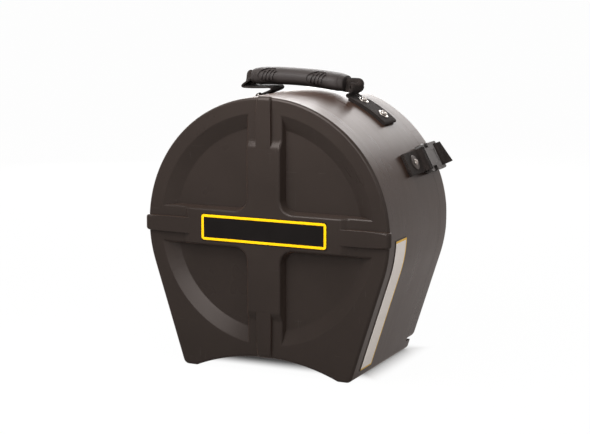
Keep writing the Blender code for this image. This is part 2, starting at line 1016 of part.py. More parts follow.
def loop_outline(bar_depth, heading, start, end_height):
    """A doubled strap seen from its side, from its start round a bar, with the bar's hole."""
    half = bar_size / 2
    middle = (socket_bottom + socket_top) / 2
    inner = half + bar_clearance
    outer = inner + web_thickness
    low = rest_gap
    outside = [
        (start, low),
        (bar_depth + heading * half, low),
        (bar_depth + heading * outer, middle - half),
        (bar_depth + heading * outer, middle + half),
        (bar_depth + heading * half, middle + outer),
        (bar_depth - heading * half, middle + outer),
        (bar_depth - heading * (outer + half), end_height),
        (start, end_height),
    ]
    hole_points = [
        (bar_depth - heading * inner, middle - inner),
        (bar_depth + heading * inner, middle - inner),
        (bar_depth + heading * inner, middle + inner),
        (bar_depth - heading * inner, middle + inner),
    ]
    return [outside, hole_points]


def make_body_latch(side, angle, shell):
    """The webbing tab, its rivet and the buckle socket that ride on the body."""
    across = side_on(angle)
    half_web = latch_web_width / 2
    socket_bar_depth = socket_front_depth + bar_size / 2
    outlines = loop_outline(
        socket_bar_depth, 1.0, socket_front_depth - tab_ahead, rest_gap + strap_stack
    )
    tab = slab("latch_tab_" + side, outlines, -half_web, half_web, across, webbing)
    place = on_shell(angle, socket_front_depth - latch_rivet_ahead)
    backing_top = -wall - rest_gap * 2
    backing_base = backing_top - washer_thickness
    drill = hole("latch_hole_" + side, place, backing_base - cut_overrun, cut_overrun * 2)
    cut(shell, drill)
    cut(tab, drill)
    washer_base = rest_gap + strap_stack + rest_gap
    washer(
        "latch_washer_" + side,
        rivet_hole_radius,
        rivet_hole_radius + latch_washer_rim,
        washer_thickness,
        place,
        washer_base,
        rivet_steel,
    )
    washer(
        "latch_backing_" + side,
        rivet_hole_radius,
        rivet_hole_radius + backing_washer_rim,
        washer_thickness,
        place,
        backing_base,
        rivet_steel,
    )
    head_base = washer_base + washer_thickness + rest_gap
    domed_rivet("latch_rivet_" + side, place, head_base, backing_base - rest_gap, False)

    flat = on_shell(angle, 0.0)
    half = socket_width / 2
    outline = rounded_box(-half, half, socket_front_depth, socket_back_depth)
    socket = slab(
        "buckle_socket_" + side, [outline], socket_bottom, socket_top, flat, buckle_plastic
    )
    soften(socket, socket_edge_round)
    inner = half - socket_wall
    strap_slot_back = socket_bar_depth + bar_size / 2 + 2 * bar_clearance + web_thickness
    cuts = {
        "cavity": (
            (-inner, window_front_depth, socket_bottom + socket_plate),
            (inner, socket_back_depth + cut_overrun, socket_top - socket_plate),
        ),
        "slot": (
            (-inner, socket_front_depth + bar_size, socket_bottom - cut_overrun),
            (inner, strap_slot_back, socket_top + cut_overrun),
        ),
        "over_bar": (
            (-inner, socket_front_depth - cut_overrun, bar_top()),
            (inner, strap_slot_back, socket_top + cut_overrun),
        ),
        "under_bar": (
            (-inner, socket_front_depth - cut_overrun, socket_bottom - cut_overrun),
            (inner, strap_slot_back, bar_top() - bar_size),
        ),
    }
    window_inner = inner - prong_thickness
    for label, sign in (("upper", -1.0), ("lower", 1.0)):
        edges = sorted((sign * window_inner, sign * (half + cut_overrun)))
        cuts["window_" + label] = (
            (edges[0], window_front_depth, socket_bottom + socket_plate),
            (edges[1], window_back_depth, socket_top + cut_overrun),
        )
    for label, (low, high) in cuts.items():
        cut(socket, block(f"socket_{label}_{side}", low, high, flat))


def bar_top():
    return (socket_bottom + socket_top) / 2 + bar_size / 2


def rounded_box(left, right, front, back, radius=socket_corner_round):
    half_width = (right - left) / 2
    half_length = (back - front) / 2
    middle = ((left + right) / 2, (front + back) / 2)
    points = rounded_rectangle(half_width, half_length, radius)
    return [(x + middle[0], y + middle[1]) for x, y in points]


def make_plug(side, angle):
    """The buckle's male half: a shoulder, a guide tongue and a frame with the strap's bar."""
    flat = on_shell(angle, 0.0)
    half = socket_width / 2
    front = socket_back_depth + plug_gap
    plug_back = front + plug_shoulder_length + plug_frame_length
    middle = (socket_bottom + socket_top) / 2
    low = middle - prong_height / 2 - socket_plate / 2
    high = middle + prong_height / 2 + socket_plate / 2
    outline = rounded_box(-half, half, front, plug_back)
    plug = slab("buckle_plug_" + side, [outline], low, high, flat, buckle_plastic)
    tongue = block(
        "plug_tongue_" + side,
        (-guide_width / 2, socket_back_depth - guide_length, middle - prong_height / 2),
        (guide_width / 2, front + plug_shoulder_length / 2, middle + prong_height / 2),
        flat,
    )
    join_on(plug, tongue)
    inner = half - socket_wall
    opening_front = front + plug_shoulder_length
    opening_back = plug_back - socket_wall
    bar_depth = strap_bar_depth()
    window = block(
        "plug_window_" + side,
        (-inner, opening_front, low - cut_overrun),
        (inner, opening_back, high + cut_overrun),
        flat,
    )
    bar = block(
        "plug_bar_" + side,
        (-inner - wall / 2, bar_depth - bar_size / 2, bar_top() - bar_size),
        (inner + wall / 2, bar_depth + bar_size / 2, bar_top()),
        flat,
    )
    rear_room = block(
        "plug_rear_room_" + side,
        (-inner, bar_depth, low - cut_overrun),
        (inner, plug_back + cut_overrun, middle - bar_size / 2),
        flat,
    )
    tail_room = block(
        "plug_tail_room_" + side,
        (-inner, bar_depth, middle + bar_size / 2),
        (inner, plug_back + cut_overrun, high + cut_overrun),
        flat,
    )
    cut(plug, window)
    join_on(plug, bar)
    cut(plug, rear_room, tail_room)


def strap_bar_depth():
    front = socket_back_depth + plug_gap + plug_shoulder_length
    return front + web_thickness + 2 * bar_clearance + bar_size / 2


def prong_root():
    """Where a prong's hinge lies: across from the buckle's middle, and depth."""
    inner = socket_width / 2 - socket_wall - prong_side_gap
    return inner - prong_thickness / 2, socket_back_depth


def prong_sides(side):
    """Which way across the strap the upper and the lower prong lie."""
    upper = -1.0 if side == "right" else 1.0
    return ("upper", upper), ("lower", -upper)


def make_prongs(side, angle):
    flat = on_shell(angle, 0.0)
    middle = (socket_bottom + socket_top) / 2
    root_across, root_depth = prong_root()
    outer = root_across + prong_thickness / 2
    inner = root_across - prong_thickness / 2
    head_outer = socket_width / 2 - prong_head_gap
    head_front = window_front_depth + prong_tip_gap
    head_back = window_back_depth - prong_head_gap
    tip = head_front + prong_head_length / 2
    outline = [
        (inner, root_depth),
        (inner, tip),
        (inner + prong_thickness / 2, head_front),
        (outer, head_front),
        (head_outer, tip),
        (head_outer, head_back),
        (outer, head_back),
        (outer, root_depth),
    ]
    for label, sign in prong_sides(side):
        moved = [(sign * x - sign * root_across, y - root_depth) for x, y in outline]
        if sign < 0:
            moved.reverse()
        hinge = flat @ Matrix.Translation((sign * root_across, root_depth, 0.0))
        slab(
            f"buckle_prong_{side}_{label}",
            [moved],
            middle - prong_height / 2,
            middle + prong_height / 2,
            hinge,
            buckle_plastic,
        )


def make_lid_strap(side, angle, lid):
    """The strap from the lid's rear face, over its rim, to the slider bar and its loose tail."""
    across = side_on(angle)
    half_web = latch_web_width / 2
    half = web_thickness / 2
    middle = (socket_bottom + socket_top) / 2
    bar_depth = strap_bar_depth()
    inner = bar_size / 2 + bar_clearance + half
    rim = (ring_face_depth - lid_rim_round, -lid_rim_round)
    bend = lid_rim_round + rest_gap + half
    behind = ring_face_depth + rest_gap + half
    tail_height = middle + inner
    path = [
        (behind, -lid_strap_inset),
        *arc(rim, bend, 0.0, 90.0, strap_corner_steps),
        (bar_depth, rest_gap + half),
        (bar_depth - inner + half, rest_gap + web_thickness),
        (bar_depth - inner, middle - bar_size / 2),
        (bar_depth - inner, middle + bar_size / 2),
        (bar_depth - inner + half, tail_height - half / 2),
        (bar_depth, tail_height),
        (bar_depth + tail_length / 2, tail_height + tail_lift / 4),
        (bar_depth + tail_length, tail_height + tail_lift),
    ]
    outline = offset_path(path, web_thickness)
    strap = slab("lid_strap_" + side, [outline], -half_web, half_web, across, webbing)
    out = radial(angle)
    back = Vector((0.0, 1.0, 0.0))
    centre = out * (shell_radius - lid_rivet_inset) + Vector((0.0, lid_face_y, centre_height))
    place = axes(out.cross(back), out, back, centre)
    backing_top = -wall - lid_backing_gap
    backing_base = backing_top - washer_thickness
    drill = hole("lid_hole_" + side, place, backing_base - cut_overrun, cut_overrun)
    cut(lid, drill)
    cut(strap, drill)
    washer_base = rest_gap + web_thickness + rest_gap
    washer(
        "lid_washer_" + side,
        rivet_hole_radius,
        rivet_hole_radius + lid_washer_rim,
        washer_thickness,
        place,
        washer_base,
        rivet_steel,
    )
    washer(
        "lid_backing_" + side,
        rivet_hole_radius,
        rivet_hole_radius + lid_backing_rim,
        washer_thickness,
        place,
        backing_base,
        rivet_steel,
    )
    head_base = washer_base + washer_thickness + rest_gap
    domed_rivet("lid_rivet_" + side, place, head_base, backing_base - rest_gap, False)


# Building the case

body = make_body()
lid = make_lid()
foam_pad("body_foam_pad", dish_depth + wall + rest_gap + foam_thickness, front_face_y)
foam_pad(
    "lid_foam_pad",
    ring_face_depth - dish_depth - wall - rest_gap,
    front_face_y,
)
make_badge()
make_strip()
for handle_side in ("right", "left"):
    make_handle_tab(handle_side, body)
make_grip()
make_folds()
for latch_side, latch_turn in (("right", latch_angle), ("left", 180.0 - latch_angle)):
    make_body_latch(latch_side, latch_turn, body)
    make_plug(latch_side, latch_turn)
    make_prongs(latch_side, latch_turn)
    make_lid_strap(latch_side, latch_turn, lid)
show_smooth()
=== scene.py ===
# %% [markdown]
# A moulded drum case, dressed for the camera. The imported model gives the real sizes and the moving
# bodies; this script adds soft moulded edges, woven straps, turned rivets and a rubbery grip.
# Everything is in metres, with +Z up and the cross facing -Y.

# %% Load the frame
import math
from contextlib import contextmanager

import bpy
from mathutils import Matrix, Vector, noise


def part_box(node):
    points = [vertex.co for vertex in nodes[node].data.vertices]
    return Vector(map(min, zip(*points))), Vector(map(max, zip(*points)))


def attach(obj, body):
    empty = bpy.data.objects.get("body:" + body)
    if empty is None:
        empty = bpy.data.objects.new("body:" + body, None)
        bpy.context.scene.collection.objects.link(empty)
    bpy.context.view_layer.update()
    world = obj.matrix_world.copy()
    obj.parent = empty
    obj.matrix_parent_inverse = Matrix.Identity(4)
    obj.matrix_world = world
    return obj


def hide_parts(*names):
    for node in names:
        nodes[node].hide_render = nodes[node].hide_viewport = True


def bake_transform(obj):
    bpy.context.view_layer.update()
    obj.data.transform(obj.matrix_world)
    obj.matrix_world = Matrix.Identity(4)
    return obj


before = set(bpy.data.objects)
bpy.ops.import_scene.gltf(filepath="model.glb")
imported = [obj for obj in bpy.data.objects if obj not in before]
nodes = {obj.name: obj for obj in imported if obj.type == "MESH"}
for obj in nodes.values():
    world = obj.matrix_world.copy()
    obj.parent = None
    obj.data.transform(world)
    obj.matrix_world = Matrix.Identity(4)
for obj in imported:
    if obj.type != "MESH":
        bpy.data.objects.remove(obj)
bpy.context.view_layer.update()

# %% [markdown]
# The case's driving dimensions come first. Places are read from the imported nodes, so each new piece
# lands on the solid that it dresses.

# %% Sizes of the case
shell_radius = 0.165
centre_height = 0.1813
base_half_width = 0.1153
arch_half_width = 0.098
arch_height = 0.020
foot_round = 0.008
smallest_round = 0.002
wall = 0.004
arm_height = 0.0045
ring_depth = 0.211
seam_gap = 0.0003
rest_gap = 0.0003
overrun = 0.005
sliver = 0.0001

body_low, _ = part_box("body_shell")
lid_low, lid_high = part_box("lid_shell")
face_y = body_low.y + arm_height
seam_y = lid_low.y - seam_gap
lid_face_y = lid_high.y - arm_height
print("front face at", round(face_y, 4), "seam at", round(seam_y, 4), "lid face at", round(lid_face_y, 4))

# %% [markdown]
# Blender's operators act on whatever is selected, and loading leaves the frame selected. So small
# helpers start every piece on its own and keep it the only one selected.

# %% Helpers for single pieces
def only(piece):
    """Makes one object the only selected and the active one."""
    bpy.ops.object.select_all(action="DESELECT")
    piece.select_set(True)
    bpy.context.view_layer.objects.active = piece


def begin(name, add, **settings):
    """Adds a primitive with nothing else selected."""
    bpy.ops.object.select_all(action="DESELECT")
    add(**settings)
    piece = bpy.context.object
    piece.name = name
    return piece


@contextmanager
def editing(piece):
    """Edit mode on one piece, with all of it selected."""
    only(piece)
    bpy.ops.object.mode_set(mode="EDIT")
    bpy.ops.mesh.select_all(action="SELECT")
    yield
    bpy.ops.object.mode_set(mode="OBJECT")


def face_outwards(piece):
    with editing(piece):
        bpy.ops.mesh.normals_make_consistent(inside=False)


def modify(piece, kind, **settings):
    """Adds a modifier and applies it."""
    only(piece)
    modifier = piece.modifiers.new(kind, kind)
    for setting, value in settings.items():
        setattr(modifier, setting, value)
    bpy.ops.object.modifier_apply(modifier=modifier.name)


def carve(piece, *tools, operation="DIFFERENCE"):
    """Cuts tools out of a piece, or joins them to it, and removes the tools."""
    for tool in tools:
        modify(piece, "BOOLEAN", operation=operation, object=tool)
        bpy.data.objects.remove(tool)


def join(piece, *tools):
    carve(piece, *tools, operation="UNION")


def dress(piece, node, body):
    """The piece takes a node's place and moves with a body."""
    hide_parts(node)
    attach(piece, body)
    return piece


def soften(piece, width, segments=3, angle=40):
    """Rounds every edge sharper than an angle, as a mould does."""
    modify(piece, "BEVEL", width=width, segments=segments, limit_method="ANGLE",
           angle_limit=math.radians(angle))


def finish_hard(piece, angle=22):
    """Smooth shading on the bends, with the big flat faces kept flat."""
    only(piece)
    bpy.ops.object.shade_smooth_by_angle(angle=math.radians(angle))
    modify(piece, "WEIGHTED_NORMAL", keep_sharp=True)


# %% [markdown]
# The case is mostly flat outlines pulled into depth: a filled circle's corners are moved on to an
# outline, and one extrude makes the block.

# %% Outlines
def standing(y, inward=1):
    """Lays a drawing's X and Y on the case's X and Z, and its depth on Y."""
    return Matrix(((1, 0, 0, 0), (0, 0, -inward, y), (0, 1, 0, 0), (0, 0, 0, 1)))


corner_steps = 8
crown_steps = 132
arch_steps = 36
side_lean = math.atan2(centre_height, base_half_width) - math.acos(
    shell_radius / math.hypot(centre_height, base_half_width)
)
arch_radius = (arch_half_width**2 + arch_height**2) / (2 * arch_height)


def on_circle(centre, radius, first, last, steps):
    """Points along an arc, with both ends, angles in degrees."""
    points = []
    for step in range(steps + 1):
        turn = math.radians(first + (last - first) * step / steps)
        points.append((centre[0] + radius * math.cos(turn), centre[1] + radius * math.sin(turn)))
    return points


def case_outline(inset=0.0, floor=0.0, corner=foot_round):
    """The D-shaped outline, moved inwards, with its feet at a floor height."""
    lean = math.degrees(side_lean)
    rounding = max(corner - inset, smallest_round)
    base = floor + inset
    reach = shell_radius - inset - rounding
    corner_z = base + rounding
    corner_x = (reach + (corner_z - centre_height) * math.sin(side_lean)) / math.cos(side_lean)
    arch = arch_radius + inset
    arch_z = arch_height - arch_radius
    turn = math.degrees(math.acos((base - arch_z) / arch))
    right = on_circle((corner_x, corner_z), rounding, -90, -lean, corner_steps)
    top = on_circle((0, centre_height), shell_radius - inset, -lean, 180 + lean, crown_steps)
    left = on_circle((-corner_x, corner_z), rounding, 180 + lean, 270, corner_steps)
    under = on_circle((0, arch_z), arch, 90 + turn, 90 - turn, arch_steps)
    return right + top + left + under


print("outline:", len(case_outline()), "points, sides lean", round(math.degrees(side_lean), 1), "degrees")

# %% Blocks and boxes
def block(name, points, near_y, far_y, far_points=None):
    """An outline in X and Z, extruded from one Y to another, where it may have another size."""
    piece = begin(name, bpy.ops.mesh.primitive_circle_add, vertices=len(points), radius=1, fill_type="NGON")
    for vertex, (x, z) in zip(piece.data.vertices, points):
        vertex.co = (x, near_y, z)
    with editing(piece):
        bpy.ops.mesh.extrude_region_move(TRANSFORM_OT_translate={"value": (0, far_y - near_y, 0)})
    if far_points:
        for vertex in piece.data.vertices:
            if abs(vertex.co.y - far_y) < sliver:
                gaps = [math.hypot(vertex.co.x - x, vertex.co.z - z) for x, z in points]
                vertex.co.x, vertex.co.z = far_points[gaps.index(min(gaps))]
    face_outwards(piece)
    return piece


def box(name, low, high):
    """A plain box between two corners, for cutting and joining."""
    low, high = Vector(low), Vector(high)
    piece = begin(name, bpy.ops.mesh.primitive_cube_add, size=1, location=(low + high) / 2)
    piece.scale = high - low
    bpy.ops.object.transform_apply(location=True, rotation=True, scale=True)
    return piece


def bevel_where(piece, chosen, width, segments):
    """Rounds the edges whose two ends pass a test."""
    with editing(piece):
        bpy.ops.mesh.select_all(action="DESELECT")
    bpy.context.tool_settings.mesh_select_mode = (False, True, False)
    for edge in piece.data.edges:
        edge.select = chosen(*[piece.data.vertices[i].co for i in edge.vertices])
    bpy.ops.object.mode_set(mode="EDIT")
    bpy.ops.mesh.bevel(offset=width, segments=segments, profile=0.5, affect="EDGES")
    bpy.ops.object.mode_set(mode="OBJECT")


def round_rim(piece, y, width, segments):
    """Rounds the edges that lie in one plane across the case."""
    def chosen(start, end):
        return max(abs(start.y - y), abs(end.y - y)) < smallest_round / 10
    bevel_where(piece, chosen, width, segments)


# %% [markdown]
# The face is pressed into relief: a round dish with a sloping side, crossed by two raised arms that
# end in short ramps. The cross is softened as its own block before it is joined, which gives it the
# rounded shoulders that catch the light.

# %% Turned shapes and the dish
dish_radius = 0.1457
dish_floor_radius = 0.1272
dish_depth = 0.009
dish_bend = 0.004
spin_weld = 0.000002


def spun(name, profile, steps):
    """A profile of (radius, height) points, spun round Z; both ends lie on the axis or it is a ring."""
    piece = begin(name, bpy.ops.mesh.primitive_plane_add, size=1)
    bpy.context.tool_settings.mesh_select_mode = (True, False, False)
    with editing(piece):
        bpy.ops.mesh.merge(type="CENTER")
        bpy.ops.transform.translate(value=(profile[0][0], 0, profile[0][1]))
        for (radius, height), (next_radius, next_height) in zip(profile, profile[1:]):
            step = (next_radius - radius, 0, next_height - height)
            bpy.ops.mesh.extrude_vertices_move(TRANSFORM_OT_translate={"value": step})
        bpy.ops.mesh.select_all(action="SELECT")
        bpy.ops.mesh.spin(steps=steps, angle=2 * math.pi, center=(0, 0, 0), axis=(0, 0, 1))
        bpy.ops.mesh.select_all(action="SELECT")
        bpy.ops.mesh.remove_doubles(threshold=spin_weld)
        bpy.ops.mesh.normals_make_consistent(inside=False)
    return piece


def dish_cutter(face, inward):
    """A round cutter for the dish: its slope runs into the face and the floor in soft bends."""
    slope = math.atan2(dish_depth, dish_radius - dish_floor_radius)
    lean = math.degrees(slope)
    reach = dish_bend * math.tan(slope / 2)
    points = [(0, overrun), (dish_radius + reach, overrun)]
    points += on_circle((dish_radius + reach, -dish_bend), dish_bend, 90, 90 + lean, 4)
    points += on_circle((dish_floor_radius - reach, dish_bend - dish_depth), dish_bend, lean - 90, -90, 4)
    piece = spun("dish", points + [(0, -dish_depth)], 180)
    lay = Matrix.Rotation(math.radians(90 * inward), 4, "X")
    piece.data.transform(Matrix.Translation((0, face, centre_height)) @ lay)
    face_outwards(piece)
    return piece


# %% The relief of a face
arm_half = 0.024
arm_end = 0.112
arm_ramp = 0.009
arm_fillet = 0.016
arm_round = 0.0026
arm_round_angle = 24
draft = 0.0016


def plus_outline(reach, half_width, fillet):
    """A plus sign with rounded inner corners."""
    points = []
    for quarter in range(4):
        corner = [(reach, -half_width), (reach, half_width)]
        corner += on_circle((half_width + fillet, half_width + fillet), fillet, 270, 180, 10)
        turn = math.radians(90 * quarter)
        for x, z in corner:
            across = x * math.cos(turn) - z * math.sin(turn)
            points.append((across, x * math.sin(turn) + z * math.cos(turn) + centre_height))
    return points


def turned_block(name, profile, half_width, quarter, face, inward):
    """A side profile of (reach, height) points, extruded across an arm and turned to its quarter."""
    piece = block(name, profile, -half_width, half_width)
    turn = Matrix.Rotation(math.radians(-90 * quarter), 4, "Y")
    piece.data.transform(Matrix.Translation((0, 0, centre_height)) @ turn @ standing(face, inward))
    face_outwards(piece)
    return piece


def relief(shell, face, inward):
    """Presses the dish into a shell's face and raises the cross on it."""
    carve(shell, dish_cutter(face, inward))
    base = plus_outline(dish_radius + wall, arm_half + draft, arm_fillet - draft)
    top = plus_outline(dish_radius + wall, arm_half - draft, arm_fillet + draft)
    low, high = face + inward * (dish_depth + wall / 2), face - inward * arm_height
    cross = block("cross", base, low, high, top)
    above = 2 * arm_height
    slope = arm_ramp / arm_height
    beyond = dish_radius + 2 * overrun
    wedge = [(arm_end + slope * sliver, -sliver), (beyond, -sliver)]
    wedge += [(beyond, above), (arm_end - slope * above, above)]
    for quarter in range(4):
        carve(cross, turned_block("ramp", wedge, 2 * arm_half, quarter, face, inward))
    soften(cross, arm_round, 4, arm_round_angle)
    join(shell, cross)


# %% [markdown]
# The body is a deep D-shaped tub, rotation moulded in black polyethylene. Its rim is one soft bend.
# Four short ribs carry the cross over the rim, with round outer corners, and the two at the sides
# stand out a little more. A thinner lip at the back slips inside the lid, and the feet run on under
# the lid as two heels.

# %% Ribs
rim_round = 0.004
rib_half_width = 0.010
rib_height = 0.0043
rib_overhang = 0.0015
side_overhang = 0.0028
rib_edge = 0.0014
rib_corner = 0.0036
rib_round = 0.0062
rib_back = 0.010


def out_of_shell(angle):
    """The direction straight out of the case's middle at an angle, in degrees."""
    turn = math.radians(angle)
    return Vector((math.cos(turn), 0, math.sin(turn)))


def rib(quarter, rim, overhang):
    """A narrow ridge from an arm's end out over the rim, with its two outer corners rounded."""
    high = rim + overhang
    start = arm_end - arm_ramp - wall
    profile = [(start, -wall), (start, rib_height)]
    profile += on_circle((high - rib_round, rib_height - rib_round), rib_round, 90, 0, 6)
    profile += [(rim - rim_round, -rib_back), (rim - wall, -wall)]
    piece = turned_block("rib", profile, rib_half_width, quarter, face_y, 1)
    outwards = out_of_shell(90 * quarter)
    across = outwards.cross(Vector((0, 1, 0)))
    middle = Vector((0, 0, centre_height))

    def chosen(*ends):
        outside = all((end - middle).dot(outwards) > high - rib_round - sliver for end in ends)
        shallow = all(end.y < face_y + rib_round for end in ends)
        return outside and shallow and abs((ends[1] - ends[0]).normalized().dot(across)) < 0.5
    bevel_where(piece, chosen, rib_corner, 4)
    soften(piece, rib_edge, 3, 40)
    return piece


# %% Body shell
spigot_length = 0.017
spigot_gap = 0.0005
heel_length = 0.015
heel_height = 0.014
lid_floor = 0.0143
lid_corner = 0.0115
far_off = 1.0

body = block("case_tub", case_outline(), face_y, seam_y + heel_length)
round_rim(body, face_y, rim_round, 6)
carve(body, box("above_heels", (-far_off, seam_y, heel_height), (far_off, far_off, far_off)))
lip = case_outline(wall + spigot_gap, lid_floor, lid_corner)
join(body, block("lip", lip, seam_y - wall / 2, seam_y + spigot_length))
relief(body, face_y, 1)
arch_rim = centre_height - arch_height - rib_overhang
rims = ((shell_radius, side_overhang), (shell_radius, rib_overhang),
        (shell_radius, side_overhang), (arch_rim, rib_overhang))
for quarter, (rim, overhang) in enumerate(rims):
    join(body, rib(quarter, rim, overhang))
inner_face = face_y + dish_depth + wall
mouth = case_outline(2 * wall + spigot_gap, lid_floor, lid_corner)
carve(body, block("room", case_outline(wall), inner_face, seam_y - wall))
carve(body, block("mouth", mouth, seam_y - 2 * wall, seam_y + spigot_length + overrun))
finish_hard(body)
dress(body, "body_shell", "case_body")
print("body shell:", len(body.data.polygons), "faces")

# %% [markdown]
# The lid is the same D, only shallow. Its outer edge has a much bigger bend than the body, and at
# both sides the bend is cut back flat, where the mould's parting blocks sat.

# %% Lid shell
lid_round = 0.010
notch_half = 0.018
notch_depth = 0.0015

lid = block("case_lid", case_outline(0, lid_floor, lid_corner), lid_low.y, lid_face_y)
round_rim(lid, lid_face_y, lid_round, 8)
relief(lid, lid_face_y, -1)
room = case_outline(wall, lid_floor, lid_corner)
carve(lid, block("lid_room", room, lid_low.y - overrun, lid_face_y - dish_depth - wall))
for side in (-1, 1):
    cut = sorted((side * (shell_radius - notch_depth), side * (shell_radius + overrun)))
    low = (cut[0], lid_face_y - lid_round, centre_height - notch_half)
    high = (cut[1], lid_face_y + overrun, centre_height + notch_half)
    carve(lid, box("notch", low, high))
finish_hard(lid)
dress(lid, "lid_shell", "lid")
print("lid shell:", len(lid.data.polygons), "faces")

# %% [markdown]
# Inside each shell a disc of charcoal foam is glued, so that the drum's hoops don't knock on bare
# plastic. It is spun with a rounded edge and a slight crown, and small uneven moves of its surface
# take away the machined look.

# %% Foam pads
pad_edge = 0.003
pad_crown = 0.0012
pad_rings = 40
waviness = 45


def pad_profile(radius, thickness):
    """Half of a disc seen from its side, from the middle of its top to the middle of its back."""
    flat = radius - pad_edge
    points = []
    for ring in range(pad_rings + 1):
        reach = flat * ring / pad_rings
        points.append((reach, thickness - pad_crown * (reach / radius) ** 4))
    points += on_circle((flat, thickness - pad_edge - pad_crown), pad_edge, 75, 0, 4)
    points += on_circle((flat, pad_edge), pad_edge, 0, -90, 4)
    return points + [(0, 0)]


def foam_pad(node, body, outwards):
    """A disc in the place of a node, with its crown towards the drum."""
    low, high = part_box(node)
    radius, thickness = (high.x - low.x) / 2, high.y - low.y
    pad = spun(node + "_soft", pad_profile(radius, thickness), 120)
    for vertex in pad.data.vertices:
        height = vertex.co.z / thickness
        vertex.co.z += height * pad_crown * noise.noise(vertex.co * waviness)
    middle = Vector(((low.x + high.x) / 2, low.y if outwards > 0 else high.y, (low.z + high.z) / 2))
    turn = Matrix.Rotation(math.radians(-90 * outwards), 4, "X")
    pad.data.transform(Matrix.Translation(middle) @ turn)
    pad.data.shade_smooth()
    dress(pad, node, body)
    return pad


pads = [foam_pad("body_foam_pad", "case_body", 1), foam_pad("lid_foam_pad", "lid", -1)]
print("foam pads:", [piece.name for piece in pads])

# %% [markdown]
# All the straps are flat woven nylon. A strap is a grid laid along a route with rounded corners. Its
# UV map is in metres, so that the weave keeps its real size round every bend.

# %% Routes
def bend_corners(points, radius, steps=5):
    """The same route with each corner swept round."""
    points = [Vector(point) for point in points]
    made = points[:1]
    for before, corner, after in zip(points, points[1:], points[2:]):
        into, out_of = before - corner, after - corner
        cut_in = corner + into.normalized() * min(radius, into.length / 2)
        cut_out = corner + out_of.normalized() * min(radius, out_of.length / 2)
        for step in range(steps + 1):
            t = step / steps
            made.append(cut_in.lerp(corner, t).lerp(corner.lerp(cut_out, t), t))
    return made + points[-1:]


def even_steps(points, spacing):
    """The route walked in equal steps, so that the grid's cells stay alike, and its length."""
    lengths = [(b - a).length for a, b in zip(points, points[1:])]
    total = sum(lengths)
    count = max(int(round(total / spacing)), 2)
    made, index, walked = [], 0, 0.0
    for step in range(count + 1):
        goal = total * step / count
        while index < len(lengths) - 1 and walked + lengths[index] < goal:
            walked += lengths[index]
            index += 1
        share = (goal - walked) / lengths[index] if lengths[index] else 0
        made.append(points[index].lerp(points[index + 1], min(max(share, 0), 1)))
    return made, total


# %% Webbing
web_thickness = 0.0023
web_edge_gap = 0.0001
web_round = 0.0005
web_step = 0.0012
fold_bend = 0.0040
least_fold = 0.01


def folded(across, fold):
    """Where a point of the strap's width lies once its halves hang down by an angle: aside, down."""
    reach = abs(across)
    if fold < least_fold:
        return across, 0
    bent = min(reach, fold_bend) * fold / fold_bend
    straight = max(reach - fold_bend, 0)
    aside = fold_bend / fold * math.sin(bent) + straight * math.cos(fold)
    down = fold_bend / fold * (1 - math.cos(bent)) + straight * math.sin(fold)
    return math.copysign(aside, across), down


def webbing(name, route, width, place, spacing=web_step, lift=None, fold=None, fold_side=1, cells=10):
    """A strap whose middle follows a route in a plane; place turns that plane into the case's."""
    points, total = even_steps([Vector(point) for point in route], spacing)
    last = len(points) - 1
    piece = begin(name, bpy.ops.mesh.primitive_grid_add, x_subdivisions=last, y_subdivisions=cells, size=2)
    weave = piece.data.uv_layers.active.data
    for loop in piece.data.loops:
        flat = piece.data.vertices[loop.vertex_index].co
        weave[loop.index].uv = (flat.y * width / 2, (flat.x + 1) / 2 * total)
    for vertex in piece.data.vertices:
        along = (vertex.co.x + 1) / 2
        across = vertex.co.y * width / 2
        index = round(along * last)
        point = points[index]
        high = lift(along, vertex.co.y) if lift else 0
        down = Vector((0, 0))
        if fold:
            ahead = points[min(index + 1, last)] - points[max(index - 1, 0)]
            across, drop = folded(across, fold(total * (1 - along)))
            down = Vector((-ahead.y, ahead.x)).normalized() * drop * fold_side
        vertex.co = place @ Vector((point.x + down.x, point.y + high + down.y, across))
    modify(piece, "SOLIDIFY", thickness=web_thickness - 2 * web_edge_gap, offset=0)
    soften(piece, web_round, 2, 50)
    face_outwards(piece)
    finish_hard(piece, 45)
    return piece


def axes_on_shell(out, radius, y, *axes):
    """The matrix that lays X, Y and Z on three directions, from a point over the shell."""
    start = out * radius + Vector((0, y, centre_height))
    return Matrix.Translation(start) @ Matrix(axes).transposed().to_4x4()


# %% [markdown]
# On the body each latch strap is a doubled tab: it runs from under its rivet to the socket's bar,
# goes round the bar and comes back over itself.

# %% Latch tabs
latch_sides = {"right": 27.7, "left": 180 - 27.7}
latch_web = 0.030
tab_start = 0.098
socket_bar = 0.1504
plug_bar = 0.2005
bar_size = 0.0048
bar_gap = 0.0005
bar_middle = 0.0062
strap_bend = 0.0024
backwards = Vector((0, 1, 0))
first_layer = rest_gap + web_thickness / 2
second_layer = first_layer + web_thickness
loop_reach = bar_size / 2 + bar_gap + web_thickness / 2
tab_closing = 1.6 * loop_reach
tab_route = bend_corners([
    (tab_start, first_layer),
    (socket_bar - loop_reach, first_layer),
    (socket_bar - loop_reach / 2, bar_middle - loop_reach),
    (socket_bar + loop_reach, bar_middle - loop_reach),
    (socket_bar + loop_reach, bar_middle + loop_reach),
    (socket_bar - loop_reach, bar_middle + loop_reach),
    (socket_bar - tab_closing, second_layer),
    (tab_start, second_layer),
], strap_bend)


def side_plane(angle):
    """A strap's own plane: X back along the case, Y out of the shell, Z across the strap."""
    out = out_of_shell(angle)
    return axes_on_shell(out, shell_radius, face_y, backwards, out, backwards.cross(out))


straps = []
for side, angle in latch_sides.items():
    tab = webbing(f"latch_tab_woven_{side}", tab_route, latch_web, side_plane(angle))
    straps.append(dress(tab, f"latch_tab_{side}", "case_body"))
print("latch tabs:", len(straps), "each", round(1000 * latch_web), "mm wide")

